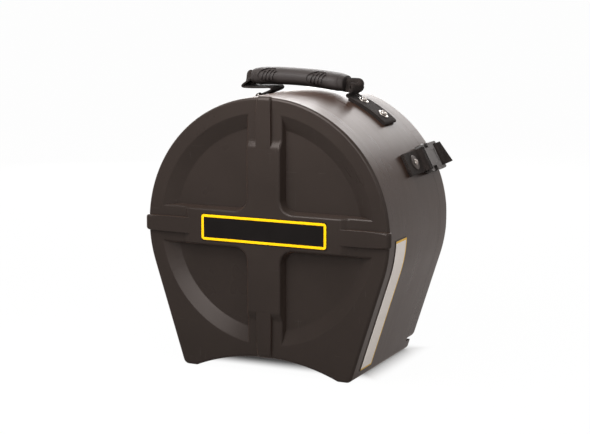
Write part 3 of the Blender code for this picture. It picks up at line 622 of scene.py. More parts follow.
# %% [markdown]
# On the lid a strap starts under a rivet on the back, bends over the soft rim, goes through the
# buckle's frame and comes back over its bar. The end that is left over stands up a little and
# leans to one side, as in the photograph.

# %% Lid straps
strap_inset = 0.0215
tail_length = 0.012
tail_lift = 0.0045
tail_from = 0.84
tail_skew = 0.0030
over_bar = bar_middle + loop_reach
lid_route = [(ring_depth + rest_gap + web_thickness / 2, -strap_inset)]
lid_route += on_circle((ring_depth - lid_round, -lid_round), lid_round + first_layer, 0, 90, 14)
lid_route = [Vector(point) for point in lid_route] + bend_corners([
    (plug_bar, first_layer),
    (plug_bar - loop_reach + web_thickness / 3, first_layer),
    (plug_bar - loop_reach, bar_middle - bar_size / 2),
    (plug_bar - loop_reach, over_bar),
    (plug_bar, over_bar),
    (plug_bar + tail_length / 2, over_bar + tail_lift / 4),
    (plug_bar + tail_length, over_bar + tail_lift),
], strap_bend)


def tail_lean(sign):
    """Only the last sixth of the strap leans, one corner up and the other down."""
    def lift(along, across):
        late = max(along - tail_from, 0) / (1 - tail_from)
        return late * late * tail_skew * across * sign
    return lift


for (side, angle), sign in zip(latch_sides.items(), (1, -1)):
    strap = webbing(f"lid_strap_woven_{side}", lid_route, latch_web, side_plane(angle), lift=tail_lean(sign))
    straps.append(dress(strap, f"lid_strap_{side}", "lid"))
print("straps so far:", len(straps))

# %% [markdown]
# The handle is one long strap too. From each end of the grip it loops down to the case, runs along
# the shell, turns under itself and is riveted through both layers. The loop is slack when the
# handle lies low. Where the strap comes out of the grip its two halves hang down like a roof. That
# flare is a piece of its own, because it moves with the grip.

# %% Lines of the handle
grip_left = -0.0785
grip_right = 0.0515
grip_left_z = 0.3605
grip_right_z = 0.3550
grip_rise = 0.0035
fold_angle = 1.45


def on_arc(radius, first, last, steps=24):
    return [Vector(point) for point in on_circle((0, centre_height), radius, first, last, steps)]


def grip_line(x):
    """Height of the grip's middle at x: a shallow arc, lower at its right end."""
    share = (x - grip_left) / (grip_right - grip_left)
    lifted = grip_left_z + (grip_right_z - grip_left_z) * share
    return lifted + grip_rise * 4 * share * (1 - share)


def smooth_curve(points, steps=6):
    """A smooth curve through a few points."""
    ends = [points[0], *points, points[-1]]
    made = []
    for p0, p1, p2, p3 in zip(ends, ends[1:], ends[2:], ends[3:]):
        for step in range(steps):
            t = step / steps
            made.append((p1 * 2 + (p2 - p0) * t + (p0 * 2 - p1 * 5 + p2 * 4 - p3) * t**2
                         + (p1 * 3 - p0 - p2 * 3 + p3) * t**3) / 2)
    return made + [points[-1]]


def hanging(full, none, beyond=0.0):
    """The angle that the strap's halves hang by, from the distance to its end in the grip."""
    def angle(distance):
        share = min(max((none - distance - beyond) / (none - full), 0), 1)
        return fold_angle * share * share * (3 - 2 * share)
    return angle


# %% Handle webbing
handle_web = 0.038
handle_depth = 0.136
handle_y = face_y + handle_depth
tab_high = 68.49
tab_low = 48.97
tab_turn = tab_low - 0.4
ridge_lift = 0.0068
ridge_ends = (0.003, -0.005)
fold_cells = 20
loops = {
    "right": [(0.0590, 0.3404), (0.0597, 0.3428), (0.0636, 0.3440), (0.0690, 0.3466), (0.0722, 0.3510),
              (0.0736, 0.3560), (0.0706, 0.3606), (0.0640, 0.3614)],
    "left": [(0.0559, 0.3407), (0.0500, 0.3432), (0.0473, 0.3454), (0.0495, 0.3476), (0.0581, 0.3473),
             (0.0759, 0.3467), (0.0884, 0.3470), (0.0912, 0.3496), (0.0908, 0.3590), (0.0898, 0.3648),
             (0.0868, 0.3671), (0.0830, 0.3666)],
}
parting = {"right": 0.3500, "left": 0.3520}
folds = {"right": (0.016, 0.050), "left": (0.012, 0.038)}
blend_x = 0.0600
blend_heights = {"right": (0.3425, 0.3495), "left": (0.3405, 0.3515)}
handle_plane = standing(handle_y)
for side, sign, grip_end in (("right", 1, grip_right), ("left", -1, grip_left)):
    route = on_arc(shell_radius + first_layer, tab_high, tab_low)
    route += on_arc(shell_radius + (first_layer + second_layer) / 2, tab_turn, tab_turn, 1)[:1]
    route += on_arc(shell_radius + second_layer, tab_low, tab_high)
    route = [Vector((sign * point.x, point.y)) for point in route]
    loop = [route[-1]] + [Vector((sign * x, z)) for x, z in loops[side]]
    for x in [grip_end + sign * end for end in ridge_ends]:
        loop.append(Vector((x, grip_line(x) + ridge_lift)))
    curve = smooth_curve(loop)
    part = next(i for i, point in enumerate(curve) if point.y >= parting[side])
    lower, upper = route[:-1] + curve[: part + 1], curve[part:]
    above = sum((b - a).length for a, b in zip(upper, upper[1:]))
    strap = webbing(f"handle_webbing_{side}", lower, handle_web, handle_plane, cells=fold_cells,
                    fold=hanging(*folds[side], above), fold_side=sign)
    start, end = [(sign * blend_x, handle_y, height) for height in blend_heights[side]]
    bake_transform(strap)
    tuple(start)
    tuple(end)
    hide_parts(f"handle_tab_{side}", f"handle_fold_{side}")
    flare = webbing(f"handle_flare_{side}", upper, handle_web, handle_plane, cells=fold_cells,
                    fold=hanging(*folds[side]), fold_side=sign)
    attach(flare, "handle")
    straps += [strap, flare]
core_inset = 0.0065
core_pitch = 0.0117
core_places = [grip_left + core_inset + core_pitch * number for number in range(11)]
core_route = [(x, grip_line(x)) for x in core_places]
core = webbing("handle_core_strap", core_route, handle_web, handle_plane, spacing=0.004)
straps.append(dress(core, "handle_strap", "handle"))
print("straps:", len(straps))

# %% [markdown]
# Tubular rivets hold every strap: hollow eyelets on nickel washers at the handle, and plain domes at
# the latches, on a broad blackened washer on the body and a small nickel one on the lid. Each kind is
# spun once and copied to its places.

# %% Shapes of rivets and washers
washer_bore = 0.0030
washer_height = 0.0009


def washer_shape(name, *outer):
    """A washer with a round bore: only the profile outside its inner rim is given."""
    profile = [(washer_bore, 0), (washer_bore, washer_height), *outer, (washer_bore, 0)]
    return spun(name, profile, 48)


washer = washer_shape("washer", (0.0036, 0.0012), (0.0044, 0.0010), (0.0066, 0.0008), (0.0071, 0.0006),
                      (0.0072, 0.0002), (0.0070, 0))
broad_washer = washer_shape("broad_washer", (0.0038, 0.0012), (0.0050, 0.0010), (0.0088, 0.0009),
                            (0.0096, 0.0006), (0.0098, 0.0002), (0.0096, 0))
small_washer = washer_shape("small_washer", (0.0058, 0.0008), (0.0062, 0.0004), (0.0060, 0))
eyelet = spun("eyelet", [
    (0, -0.0070), (0.0018, -0.0070), (0.0019, 0.0004), (0.0022, 0.0016), (0.0028, 0.0022), (0.0034, 0.0022),
    (0.0040, 0.0018), (0.0044, 0.0010), (0.0045, 0.0003), (0.0044, 0), (0.0024, 0), (0.0024, -0.0090),
    (0, -0.0090),
], 48)
dome = spun("dome", [
    (0, 0.0028), (0.0008, 0.00272), (0.0016, 0.00245), (0.0024, 0.0020), (0.0031, 0.0014), (0.0037, 0.0008),
    (0.0041, 0.0003), (0.0040, 0), (0.0024, 0), (0.0024, -0.0080), (0, -0.0080),
], 48)
originals = [washer, broad_washer, small_washer, eyelet, dome]
for piece in originals:
    finish_hard(piece, 50)
print("turned shapes:", [piece.name for piece in originals])

# %% Rivets and washers in place
handle_rivets = {"lower": 0.0435, "upper": 0.0124}
latch_rivet = 0.122
lid_rivet_inset = 0.014


def shell_seat(angle, depth):
    """On the shell: X across a strap, Y back along the case, Z straight out."""
    out = out_of_shell(angle)
    return axes_on_shell(out, shell_radius, face_y + depth, backwards.cross(out), backwards, out)


def lid_seat(angle):
    """On the lid's back, near its rim: Z straight back."""
    out = out_of_shell(angle)
    radius = shell_radius - lid_rivet_inset
    return axes_on_shell(out, radius, lid_face_y, out.cross(backwards), out, backwards)


def fasten(seat, layers, body, *stack):
    """Lays a washer and a rivet's head on layers of strap, as copies with their own meshes."""
    height = 2 * rest_gap + layers * web_thickness
    laid = []
    for shape, name, node in stack:
        made = shape.copy()
        made.data = shape.data.copy()
        made.name = name
        bpy.context.collection.objects.link(made)
        made.data.transform(seat @ Matrix.Translation((0, 0, height)))
        laid.append(dress(made, node, body))
        height += washer_height + rest_gap
    return laid


steel_pieces, black_pieces = [], []
for side, latch_angle in latch_sides.items():
    for label, distance in handle_rivets.items():
        angle = tab_high - math.degrees(distance / shell_radius)
        seat = shell_seat(angle if side == "right" else 180 - angle, handle_depth)
        tag = f"{side}_{label}"
        steel_pieces += fasten(seat, 2, "case_body",
                               (washer, f"nickel_washer_{tag}", f"handle_washer_{tag}"),
                               (eyelet, f"nickel_eyelet_{tag}", f"handle_rivet_{tag}"))
    ring, head = fasten(shell_seat(latch_angle, latch_rivet), 2, "case_body",
                        (broad_washer, f"black_washer_{side}", f"latch_washer_{side}"),
                        (dome, f"latch_dome_{side}", f"latch_rivet_{side}"))
    black_pieces.append(ring)
    steel_pieces.append(head)
    steel_pieces += fasten(lid_seat(latch_angle), 1, "lid",
                           (small_washer, f"lid_washer_fine_{side}", f"lid_washer_{side}"),
                           (dome, f"lid_dome_{side}", f"lid_rivet_{side}"))
for piece in originals:
    bpy.data.objects.remove(piece)
print("rivets and washers:", len(steel_pieces) + len(black_pieces))

# %% [markdown]
# The latches are side-release buckles in moulded black acetal. The socket is a flat box with a bar
# for the body's strap and an open window at each side. The plug has a frame for the lid's strap, a
# guide tongue and two springy prongs, whose ribbed heads show in the windows.

# %% Buckle shapes
buckle_half = 0.019
buckle_inner = 0.0155
buckle_corner = 0.004
socket_front, socket_rear = 0.148, 0.189
socket_low, socket_top = 0.0012, 0.0112
socket_edge, plug_edge, moulded_edge = 0.0012, 0.0010, 0.0003
slot_front, slot_rear = 0.1528, 0.1561
room_front, window_rear = 0.158, 0.171
room_low, room_top = 0.0030, 0.0094
window_side = 0.0123
field_half, field_front, field_rear, field_low = 0.0085, 0.1745, 0.1860, 0.0107
plug_front, plug_rear = 0.1898, 0.2075
frame_front, frame_rear = 0.1948, 0.2040
tongue_half, tongue_front, tongue_rear = 0.0035, 0.166, 0.1923
bar_low, bar_top = bar_middle - bar_size / 2, bar_middle + bar_size / 2
bar_root = 0.002
prong_low, prong_top = 0.0039, 0.0085
groove_front, groove_pitch, groove_width, groove_floor = 0.1637, 0.0016, 0.0007, 0.0178
aside, before, behind, below, above = 0.03, 0.14, 0.22, -0.01, 0.02


def flat_block(name, points, low, top):
    """An outline in X and Y, from one height to another."""
    piece = block(name, points, low, top)
    piece.data.transform(standing(0, -1))
    face_outwards(piece)
    return piece


def rounded_plate(name, front, rear, low, top, edge):
    """A plate as wide as the buckle, with round corners in plan and softened edges."""
    x, near, far = buckle_half - buckle_corner, front + buckle_corner, rear - buckle_corner
    points = []
    for number, centre in enumerate(((x, near), (x, far), (-x, far), (-x, near))):
        points += on_circle(centre, buckle_corner, 90 * number - 90, 90 * number, 6)
    piece = flat_block(name, points, low, top)
    soften(piece, edge, 3, 50)
    return piece


def make_socket(name):
    """The half on the body: a room for the prongs, a bar for the strap and a window at each side."""
    inner = buckle_inner
    socket = rounded_plate(name, socket_front, socket_rear, socket_low, socket_top, socket_edge)
    rooms = (
        ((-inner, room_front, room_low), (inner, behind, room_top)),
        ((-inner, slot_front, below), (inner, slot_rear, above)),
        ((-inner, before, bar_top), (inner, slot_rear, above)),
        ((-inner, before, below), (inner, slot_rear, bar_low)),
        ((-aside, room_front, room_low), (-window_side, window_rear, above)),
        ((window_side, room_front, room_low), (aside, window_rear, above)),
        ((-field_half, field_front, field_low), (field_half, field_rear, above)),
    )
    for number, (low, high) in enumerate(rooms):
        carve(socket, box(f"room_{number}", low, high))
    return socket


def make_plug(name):
    """The half on the lid: a frame with a bar for the strap, and a guide tongue."""
    inner, root = buckle_inner, buckle_inner + bar_root
    bar_front, bar_rear = plug_bar - bar_size / 2, plug_bar + bar_size / 2
    plug = rounded_plate(name, plug_front, plug_rear, room_low, room_top, plug_edge)
    join(plug, box("tongue", (-tongue_half, tongue_front, prong_low), (tongue_half, tongue_rear, prong_top)))
    carve(plug, box("frame_room", (-inner, frame_front, below), (inner, frame_rear, above)))
    join(plug, box("bar", (-root, bar_front, bar_low), (root, bar_rear, bar_top)))
    carve(plug, box("rear_room", (-inner, plug_bar, below), (inner, behind, bar_low)))
    carve(plug, box("tail_room", (-inner, plug_bar, bar_top), (inner, behind, above)))
    return plug


def make_prong(name, sign):
    """A springy arm from its root to its head, with four grooves for the finger."""
    points = [(0.0117, 0.1890), (0.0117, 0.1645), (0.0125, 0.1612), (0.0140, 0.1595), (0.0152, 0.1597),
              (0.0170, 0.1622), (0.0181, 0.1655), (0.0183, 0.1703), (0.0149, 0.1703), (0.0149, 0.1890)]
    prong = flat_block(name, [(sign * x, y) for x, y in points], prong_low, prong_top)
    near, far = sorted((sign * groove_floor, sign * aside))
    for number in range(4):
        front = groove_front + groove_pitch * number
        carve(prong, box(f"groove_{number}", (near, front, 0), (far, front + groove_width, above)))
    return prong


# %% Buckles in place
buckle_pieces = []


def mould(piece, angle, node, body):
    """Gives a moulded part its fine edge radius, then puts it in its place."""
    soften(piece, moulded_edge, 2, 35)
    piece.data.transform(shell_seat(angle, 0))
    finish_hard(piece, 30)
    buckle_pieces.append(dress(piece, node, body))


for (side, angle), upper in zip(latch_sides.items(), (-1, 1)):
    mould(make_socket(f"socket_{side}"), angle, f"buckle_socket_{side}", "case_body")
    mould(make_plug(f"plug_{side}"), angle, f"buckle_plug_{side}", "lid")
    for label, sign in (("upper", upper), ("lower", -upper)):
        tag = f"{side}_{label}"
        mould(make_prong(f"finger_{tag}", sign), angle, f"buckle_prong_{tag}", f"prong_{tag}")
print("buckle pieces:", len(buckle_pieces))

# %% [markdown]
# The grip is soft rubber moulded over the strap. Its section is an oval with a flattened front, it
# bows a little, and a collar closes each end. Two finger pads face the front and two the back, each
# a shallow oval hollow with four slanted slots.

# %% Grip
grip_half_width = 0.0225
grip_half_height = 0.01125
grip_square = 2.5
end_height, height_reach = 0.86, 0.010
end_width, width_reach = 0.78, 0.016
end_power = 0.6
collar_from, collar_to, collar_share = 0.0045, 0.0062, 0.965
waist_share = 0.03
grip_weld = 0.00001


def eased(distance, reach, least):
    """A share that grows from its least value to 1 over a reach from the grip's end."""
    return least + (1 - least) * min(max(distance, 0) / reach, 1) ** end_power


def grip_point(share, turn, grow=0.0):
    """A point of the grip's skin: share runs along it, turn round it."""
    x = grip_left + (grip_right - grip_left) * share
    from_end = min(x - grip_left, grip_right - x)
    size = eased(from_end, height_reach, end_height)
    if collar_from < from_end < collar_to:
        size *= collar_share
    size -= waist_share * math.sin(math.pi * share) ** 4
    wide = size * eased(from_end, width_reach, end_width)
    cosine, sine = math.cos(turn), math.sin(turn)
    across = math.copysign(abs(cosine) ** (2 / grip_square), cosine) * (grip_half_width * wide + grow)
    high = math.copysign(abs(sine) ** (2 / grip_square), sine) * (grip_half_height * size + grow)
    return Vector((x, handle_y + across, grip_line(x) + high))


def grip_body(name, grow=0.0, rings=110, around=64):
    """The grip's closed skin, moved out by grow, with its rings closer together at the ends."""
    piece = begin(name, bpy.ops.mesh.primitive_grid_add, x_subdivisions=rings, y_subdivisions=around, size=2)
    for vertex in piece.data.vertices:
        share = 0.5 - 0.5 * math.cos(math.pi * (vertex.co.x + 1) / 2)
        vertex.co = grip_point(share, math.pi * (vertex.co.y + 1), grow)
    with editing(piece):
        bpy.ops.mesh.remove_doubles(threshold=grip_weld)
        bpy.ops.mesh.fill_holes(sides=0)
        bpy.ops.mesh.normals_make_consistent(inside=False)
    return piece


# %% Finger pads
pad_places = (-0.0505, 0.0185)
pad_length = 0.030
pad_height = 0.0195
pad_rise = 0.0015
pad_rim = 0.0010
pad_sunk = 0.0015
pad_far_share = 0.35
slot_pitch = 0.0050
slot_width = 0.0026
slot_sunk = 0.0030
slot_slant = 0.30
slot_shares = (0.70, 0.84, 0.84, 0.70)


def pad_prism(name, points, x, front):
    """A flat outline on the grip's side, pushed through towards its middle."""
    near = handle_y - front * (grip_half_width + overrun)
    far = handle_y - front * grip_half_width * pad_far_share
    height = grip_line(x) + pad_rise
    return block(name, [(x + along, height + high) for along, high in points], near, far)


def oval(half_length, half_height, steps=40):
    turns = [2 * math.pi * step / steps for step in range(steps)]
    return [(half_length * math.cos(turn), half_height * math.sin(turn)) for turn in turns]


def slot(middle, half_length, half_width):
    """A leaning slot with round ends."""
    points = on_circle((0, half_length - half_width), half_width, 0, 180, 6)
    points += on_circle((0, half_width - half_length), half_width, 180, 360, 6)
    return [(middle + x + z * slot_slant, z) for x, z in points]


grip = grip_body("rubber_grip")
for front in (1, -1):
    for x in pad_places:
        cutters = [(pad_prism("hollow", oval(pad_length / 2, pad_height / 2), x, front), pad_sunk)]
        for number, share in enumerate(slot_shares):
            outline = slot((number - 1.5) * slot_pitch, pad_height / 2 * share - pad_rim, slot_width / 2)
            cutters.append((pad_prism("slot", outline, x, front), slot_sunk))
        for cutter, depth in cutters:
            carve(cutter, grip_body("inside", -depth, 40, 40))
            carve(grip, cutter)
finish_hard(grip, 35)
dress(grip, "handle_grip", "handle")
print("grip:", len(grip.data.polygons), "faces")

# %% [markdown]
# A finish is easier to read as arithmetic than as a web of nodes. One small class turns Python's
# signs into Math nodes, and one method makes every other node.

# %% Shader arithmetic
def operator(kind, swapped=False):
    """A method that joins two values by one Math node."""
    def method(self, other):
        return self.math(kind, *((other, self) if swapped else (self, other)))
    return method


def feed(tree, socket, value):
    """Links a value to a socket, or writes a number or colour there."""
    if isinstance(value, Value):
        tree.links.new(value.socket, socket)
    else:
        socket.default_value = value


class Value:
    """A socket that can be added, multiplied and compared."""

    def __init__(self, tree, socket):
        self.tree = tree
        self.socket = socket

    def math(self, kind, *values):
        node = self.tree.nodes.new("ShaderNodeMath")
        node.operation = kind
        for socket, value in zip(node.inputs, values):
            feed(self.tree, socket, value)
        return Value(self.tree, node.outputs[0])

    __add__, __radd__ = operator("ADD"), operator("ADD", True)
    __sub__, __rsub__ = operator("SUBTRACT"), operator("SUBTRACT", True)
    __mul__, __rmul__ = operator("MULTIPLY"), operator("MULTIPLY", True)
    __pow__, __gt__, __lt__ = operator("POWER"), operator("GREATER_THAN"), operator("LESS_THAN")
    most, least = operator("MAXIMUM"), operator("MINIMUM")

    def __abs__(self):
        return self.math("ABSOLUTE", self)

    def sine(self):
        return self.math("SINE", self)

    def rise(self, low, high):
        """0 below low, 1 above high and a straight slope between them."""
        return ((self - low) * (1 / (high - low))).most(0).least(1)

    def soft_rise(self, low, high):
        """The same with eased ends."""
        share = self.rise(low, high)
        return share * share * (3 - 2 * share)


def colour(red, green, blue):
    """A colour picked on the screen, as the linear light that shaders use."""
    linear = []
    for part in (red, green, blue):
        part /= 255
        linear.append(part / 12.92 if part <= 0.04045 else ((part + 0.055) / 1.055) ** 2.4)
    return (*linear, 1)


# %% Node trees and finishes
class Nodes:
    """A node tree and the ways to add to it."""

    def __init__(self, tree):
        self.tree = tree

    def node(self, kind, inputs=None, output=0, **settings):
        """Any node: its settings first, then the values or links of its sockets."""
        node = self.tree.nodes.new("ShaderNode" + kind)
        for key, value in settings.items():
            setattr(node, key, value)
        for key, value in (inputs or {}).items():
            feed(self.tree, node.inputs[key], value)
        return Value(self.tree, node.outputs[output])

    def place(self, scale=(1, 1, 1), turn=(0, 0, 0), uv=False):
        """Coordinates in metres, scaled and turned."""
        start = self.node("TexCoord", output="UV" if uv else "Object")
        return self.node("Mapping", {"Vector": start, "Scale": scale, "Rotation": turn})

    def parts(self, vector):
        return [self.node("SeparateXYZ", {"Vector": vector}, output=axis) for axis in "XYZ"]

    def noise(self, scale, detail=2, rough=0.5, vector=None):
        inputs = {"Scale": scale, "Detail": detail, "Roughness": rough, "Vector": vector or self.place()}
        return self.node("TexNoise", inputs)

    def mix(self, share, first, second):
        """A blend of two colours."""
        return self.node("Mix", {0: share, 6: first, 7: second}, 2, data_type="RGBA")

    def bump(self, height, depth, strength=1.0, under=None):
        inputs = {"Height": height, "Distance": depth, "Strength": strength}
        if under:
            inputs["Normal"] = under
        return self.node("Bump", inputs)

    def only_seen(self, seen, mirrored, lit, dim):
        """What the camera or glass sees, what mirrors see where it isn't dim, and what lights the rest."""
        camera, glass, mirror = (self.node("LightPath", output=f"Is {kind} Ray")
                                 for kind in ("Camera", "Transmission", "Glossy"))
        rest = self.node("MixShader", {"Fac": mirror * (1 - dim), 1: lit, 2: mirrored})
        return self.node("MixShader", {"Fac": camera.most(glass), 1: rest, 2: seen})


class Finish(Nodes):
    """A material, its shader and the nodes that feed it."""

    def __init__(self, name, **fixed):
        self.material = bpy.data.materials.new(name)
        self.material.use_nodes = True
        super().__init__(self.material.node_tree)
        self.shader = self.tree.nodes["Principled BSDF"]
        self.show(**fixed)

    def show(self, **feeds):
        for socket, value in feeds.items():
            feed(self.tree, self.shader.inputs[socket.replace("_", " ")], value)

    def on(self, slot, *pieces):
        """Puts the finish on pieces. The slot is not used."""
        for piece in pieces:
            piece.data.materials.clear()
            piece.data.materials.append(self.material)


# %% [markdown]
# The shells are black polyethylene. It is never quite flat: the skin has a fine pebble grain and a
# slow waviness, rings of faint drag marks run round the sides, and handling leaves pale scuffs.

# %% Shell plastic
shell = Finish("shell_plastic_black", Specular_IOR_Level=0.16, Specular_Tint=(1, 0.9, 0.86, 1),
               Sheen_Weight=0.09, Sheen_Roughness=0.35, Sheen_Tint=(1, 0.45, 0.25, 1))
streaks = shell.noise(1, 4, 0.7, shell.place((7, 130, 7)))
blotch = shell.noise(11, 3, 0.55)
grain = shell.noise(1500, 2, 0.6)
scratch_a = shell.noise(1, 2, 0.5, shell.place((30, 30, 1100), (0.3, 0.7, 0.2)))
scratch_b = shell.noise(1, 2, 0.5, shell.place((900, 26, 26), (0.2, 0.4, 0.9)))
marks = scratch_a.rise(0.71, 0.76) + scratch_b.rise(0.71, 0.76)
marks = (marks * shell.noise(26, 1).rise(0.5, 0.66)).least(1)
skin = shell.mix(blotch, (0.0175, 0.0132, 0.0113, 1), (0.0265, 0.0200, 0.0172, 1))
skin = shell.mix(marks * 0.35, skin, (0.090, 0.080, 0.075, 1))
waves = shell.bump(streaks, 0.00005, 0.12, shell.bump(blotch, 0.0012, 0.25))
shell.show(Base_Color=skin, Roughness=0.17 + 0.10 * blotch + 0.16 * streaks + 0.14 * marks,
           Normal=shell.bump(grain, 0.00004, 0.6, waves))
shell.on("shell_plastic", body, lid)
print("shell finish on", body.name, "and", lid.name)

# %% [markdown]
# Nylon webbing is a plain weave of thick yarns. Sines of the UV map, which is in metres, lift each
# yarn where it passes over, a finer sine draws its twist, and the raised parts get a painted highlight.

# %% Webbing and foam
warp_width, weft_width, twist_width = 0.0019, 0.0023, 0.00045
weave = Finish("webbing_black_nylon", Sheen_Weight=0.02, Sheen_Roughness=0.5, Specular_IOR_Level=0.12)
across, along, _ = weave.parts(weave.place(uv=True))
warp = (across * (2 * math.pi / warp_width)).sine()
weft = (along * (2 * math.pi / weft_width)).sine()
yarn = 0.5 + 0.5 * warp * weft
twist = ((across + along) * (2 * math.pi / twist_width)).sine()
fuzz = weave.noise(2600, 2)
height = 0.75 * yarn + 0.1 * twist + 0.3 * fuzz
# The raised yarns are coloured lighter, broken up by noise: a painted highlight on their tops.
painted_yarn_highlight = (yarn * weave.noise(60, 2)).rise(0.25, 0.75)
cloth = weave.mix(painted_yarn_highlight, (0.0120, 0.0090, 0.0078, 1), (0.0680, 0.0520, 0.0460, 1))
weave.show(Base_Color=cloth, Roughness=0.86 - 0.14 * yarn, Normal=weave.bump(height, 0.00035, 0.9))
weave.on("webbing", *straps)

foam = Finish("foam_charcoal", Specular_IOR_Level=0.2, Roughness=0.95)
cells = foam.node("TexVoronoi", {"Scale": 620, "Vector": foam.place()})
pores = cells.rise(0.15, 0.6)
# The recessed pores are coloured darker, varied by noise: a painted shade in the cells.
foam_with_painted_pore_shade = foam.mix(pores * foam.noise(30, 2), (0.050, 0.050, 0.052, 1), (0.014, 0.014, 0.015, 1))
foam.show(Base_Color=foam_with_painted_pore_shade, Normal=foam.bump(1 - pores, 0.0004, 0.8))
foam.on("foam", *pads)
print("woven finish on", len(straps), "straps, foam on", len(pads), "pads")

# %% [markdown]
# The grip's rubber is nearly black, with a fine leather grain and duller patches where hands rub it.
# A short golden inlay sits low on its front, drawn by limits on the place.

# %% Grip rubber
inlay_middle, inlay_half = -0.018, 0.0120
inlay_front = 0.0130
inlay_low, inlay_high = -0.0105, -0.0080
rubber = Finish("grip_soft_rubber", Specular_IOR_Level=0.3)
leather = rubber.noise(900, 3, 0.6)
hand = rubber.noise(35, 3)
x, y, z = rubber.parts(rubber.place())
sag = z - (grip_left_z + grip_right_z) / 2
inlay = (abs(x - inlay_middle) < inlay_half) * (y < handle_y - inlay_front)
inlay = inlay * (sag < inlay_high) * (sag > inlay_low)
skin = rubber.mix(hand, (0.0170, 0.0130, 0.0120, 1), (0.0270, 0.0210, 0.0195, 1))
skin = rubber.mix(inlay, skin, colour(150, 105, 30))
rubber.show(Base_Color=skin, Roughness=0.52 + 0.14 * hand, Normal=rubber.bump(leather, 0.00008, 0.7))
rubber.on("grip_rubber", grip)
print("rubber on", grip.name)

# %% [markdown]
# Buckles are acetal, which keeps a silky shine on its edges and a sparked texture on its faces. The
# rivets are nickel plated: bright, with fine turning marks and dull spots where fingers touch.

# %% Buckles and metal
acetal = Finish("buckle_black_acetal", Specular_IOR_Level=0.5)
spark = acetal.noise(2200, 2, 0.6)
rub = acetal.noise(90, 3)
skin = acetal.mix(rub, (0.0180, 0.0150, 0.0140, 1), (0.0300, 0.0260, 0.0240, 1))
acetal.show(Base_Color=skin, Roughness=0.30 + 0.14 * rub, Normal=acetal.bump(spark, 0.00003, 0.6))
acetal.on("buckle_plastic", *buckle_pieces)

nickel = Finish("rivet_nickel", Metallic=1.0)
turned_marks = nickel.noise(3200, 2)
touch = nickel.noise(260, 3, 0.6)
tone = nickel.mix(touch, (0.17, 0.15, 0.14, 1), (0.42, 0.39, 0.36, 1))
nickel.show(Base_Color=tone, Roughness=0.14 + 0.20 * touch, Normal=nickel.bump(turned_marks, 0.00002, 0.5))
backings = [nodes[name] for name in nodes if "backing" in name]
nickel.on("rivet_steel", *steel_pieces, *backings)

blackened = Finish("washer_blackened_steel", Metallic=1.0)
patches = blackened.noise(500, 3)
tone = blackened.mix(patches, (0.030, 0.025, 0.023, 1), (0.090, 0.078, 0.072, 1))
blackened.show(Base_Color=tone, Roughness=0.34 + 0.16 * patches, Normal=blackened.bump(patches, 0.00003, 0.5))
blackened.on("rivet_steel", *black_pieces)
print("metal on", len(steel_pieces) + len(black_pieces) + len(backings), "pieces")

# %% [markdown]
# The plate on the face is a bare printed film: a near-black field inside a golden line. The strip on
# the side is a write-on label, pale with a golden edge. Both borders are drawn by distance from the
# film's edge, measured in the film's own plane, and neither carries any words.

# %% Films
ink_edge = 0.0002
plate_corner = 0.0042
line_from, line_to = 0.0005, 0.0037
plate = Finish("badge_black_gold", Coat_Roughness=0.12, Specular_IOR_Level=0.05)
low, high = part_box("front_badge")
x, _, z = plate.parts(plate.place())


def past_corner(place, start, end):
    """How far a place lies past where the film's round corners begin."""
    return abs(place - (start + end) / 2) - ((end - start) / 2 - plate_corner)


beside, over = past_corner(x, low.x, high.x), past_corner(z, low.z, high.z)
edge = plate_corner - (beside.most(0) ** 2 + over.most(0) ** 2) ** 0.5 - beside.most(over).least(0)
line = edge.rise(line_from, line_from + ink_edge) * (1 - edge.rise(line_to, line_to + ink_edge))
speckle = plate.noise(700, 2)
fading = plate.noise(28, 3)
gold = plate.mix(fading, colour(250, 188, 6), colour(255, 200, 24))
field = plate.mix(fading, (0.0050, 0.0042, 0.0040, 1), (0.0100, 0.0084, 0.0078, 1))
plate.show(Base_Color=plate.mix(line, field, gold), Roughness=0.34 + 0.10 * fading,
           Coat_Weight=0.01 + 0.03 * fading, Normal=plate.bump(line + 0.1 * speckle, 0.00008, 0.6))
plate.on("badge_film", nodes["front_badge"])

outline_width, front_line = 0.0006, 0.0003
gold_rear, gold_top, gold_bottom = 0.0030, 0.0032, 0.0026
label = Finish("write_on_strip_film")
low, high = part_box("side_strip")
_, y, z = label.parts(label.place())
rear, top, front, bottom = high.y - y, high.z - z, y - low.y, z - low.z


def within(distance, width):
    """1 up to a width from an edge of the film, 0 past it."""
    return 1 - distance.rise(width, width + ink_edge)


golden = within(rear, gold_rear).most(within(top, gold_top)).most(within(bottom, gold_bottom))
smudge = label.noise(45, 4, 0.6)
paper = label.mix(smudge, colour(240, 230, 222), colour(252, 246, 240))
ink = label.mix(golden, paper, colour(240, 190, 60))
thin_line = within(rear.least(top).least(bottom), outline_width).most(within(front, front_line))
ink = label.mix(thin_line, ink, colour(45, 36, 28))
label.show(Base_Color=ink, Roughness=0.42 + 0.16 * smudge, Normal=label.bump(smudge, 0.0001, 0.4))
label.on("strip_film", nodes["side_strip"])
print("films on", nodes["front_badge"].name, "and", nodes["side_strip"].name)

# %% [markdown]
# The camera stands to the right of the case's face, a little above it. Its place comes from fitting
# the case's known corners to the photograph.

# %% Camera
camera_turn, camera_lift = math.radians(25.05), math.radians(9.53)
camera_distance = 1.928
aim_x, aim_z = 0.04145, 0.20175
level = math.cos(camera_lift)
towards = Vector((math.sin(camera_turn) * level, -math.cos(camera_turn) * level, math.sin(camera_lift)))
right = Vector((math.cos(camera_turn), math.sin(camera_turn), 0))
camera_data = bpy.data.cameras.new("camera")
camera_data.lens = 96.41
camera_data.sensor_width = 36
camera_data.clip_end = 50
camera = bpy.data.objects.new("camera", camera_data)
camera.location = Vector((aim_x, face_y, aim_z)) + camera_distance * towards
camera.rotation_euler = Matrix((right, towards.cross(right), towards)).transposed().to_euler()
bpy.context.scene.collection.objects.link(camera)
bpy.context.scene.camera = camera
print("camera at", [round(value, 3) for value in camera.location])

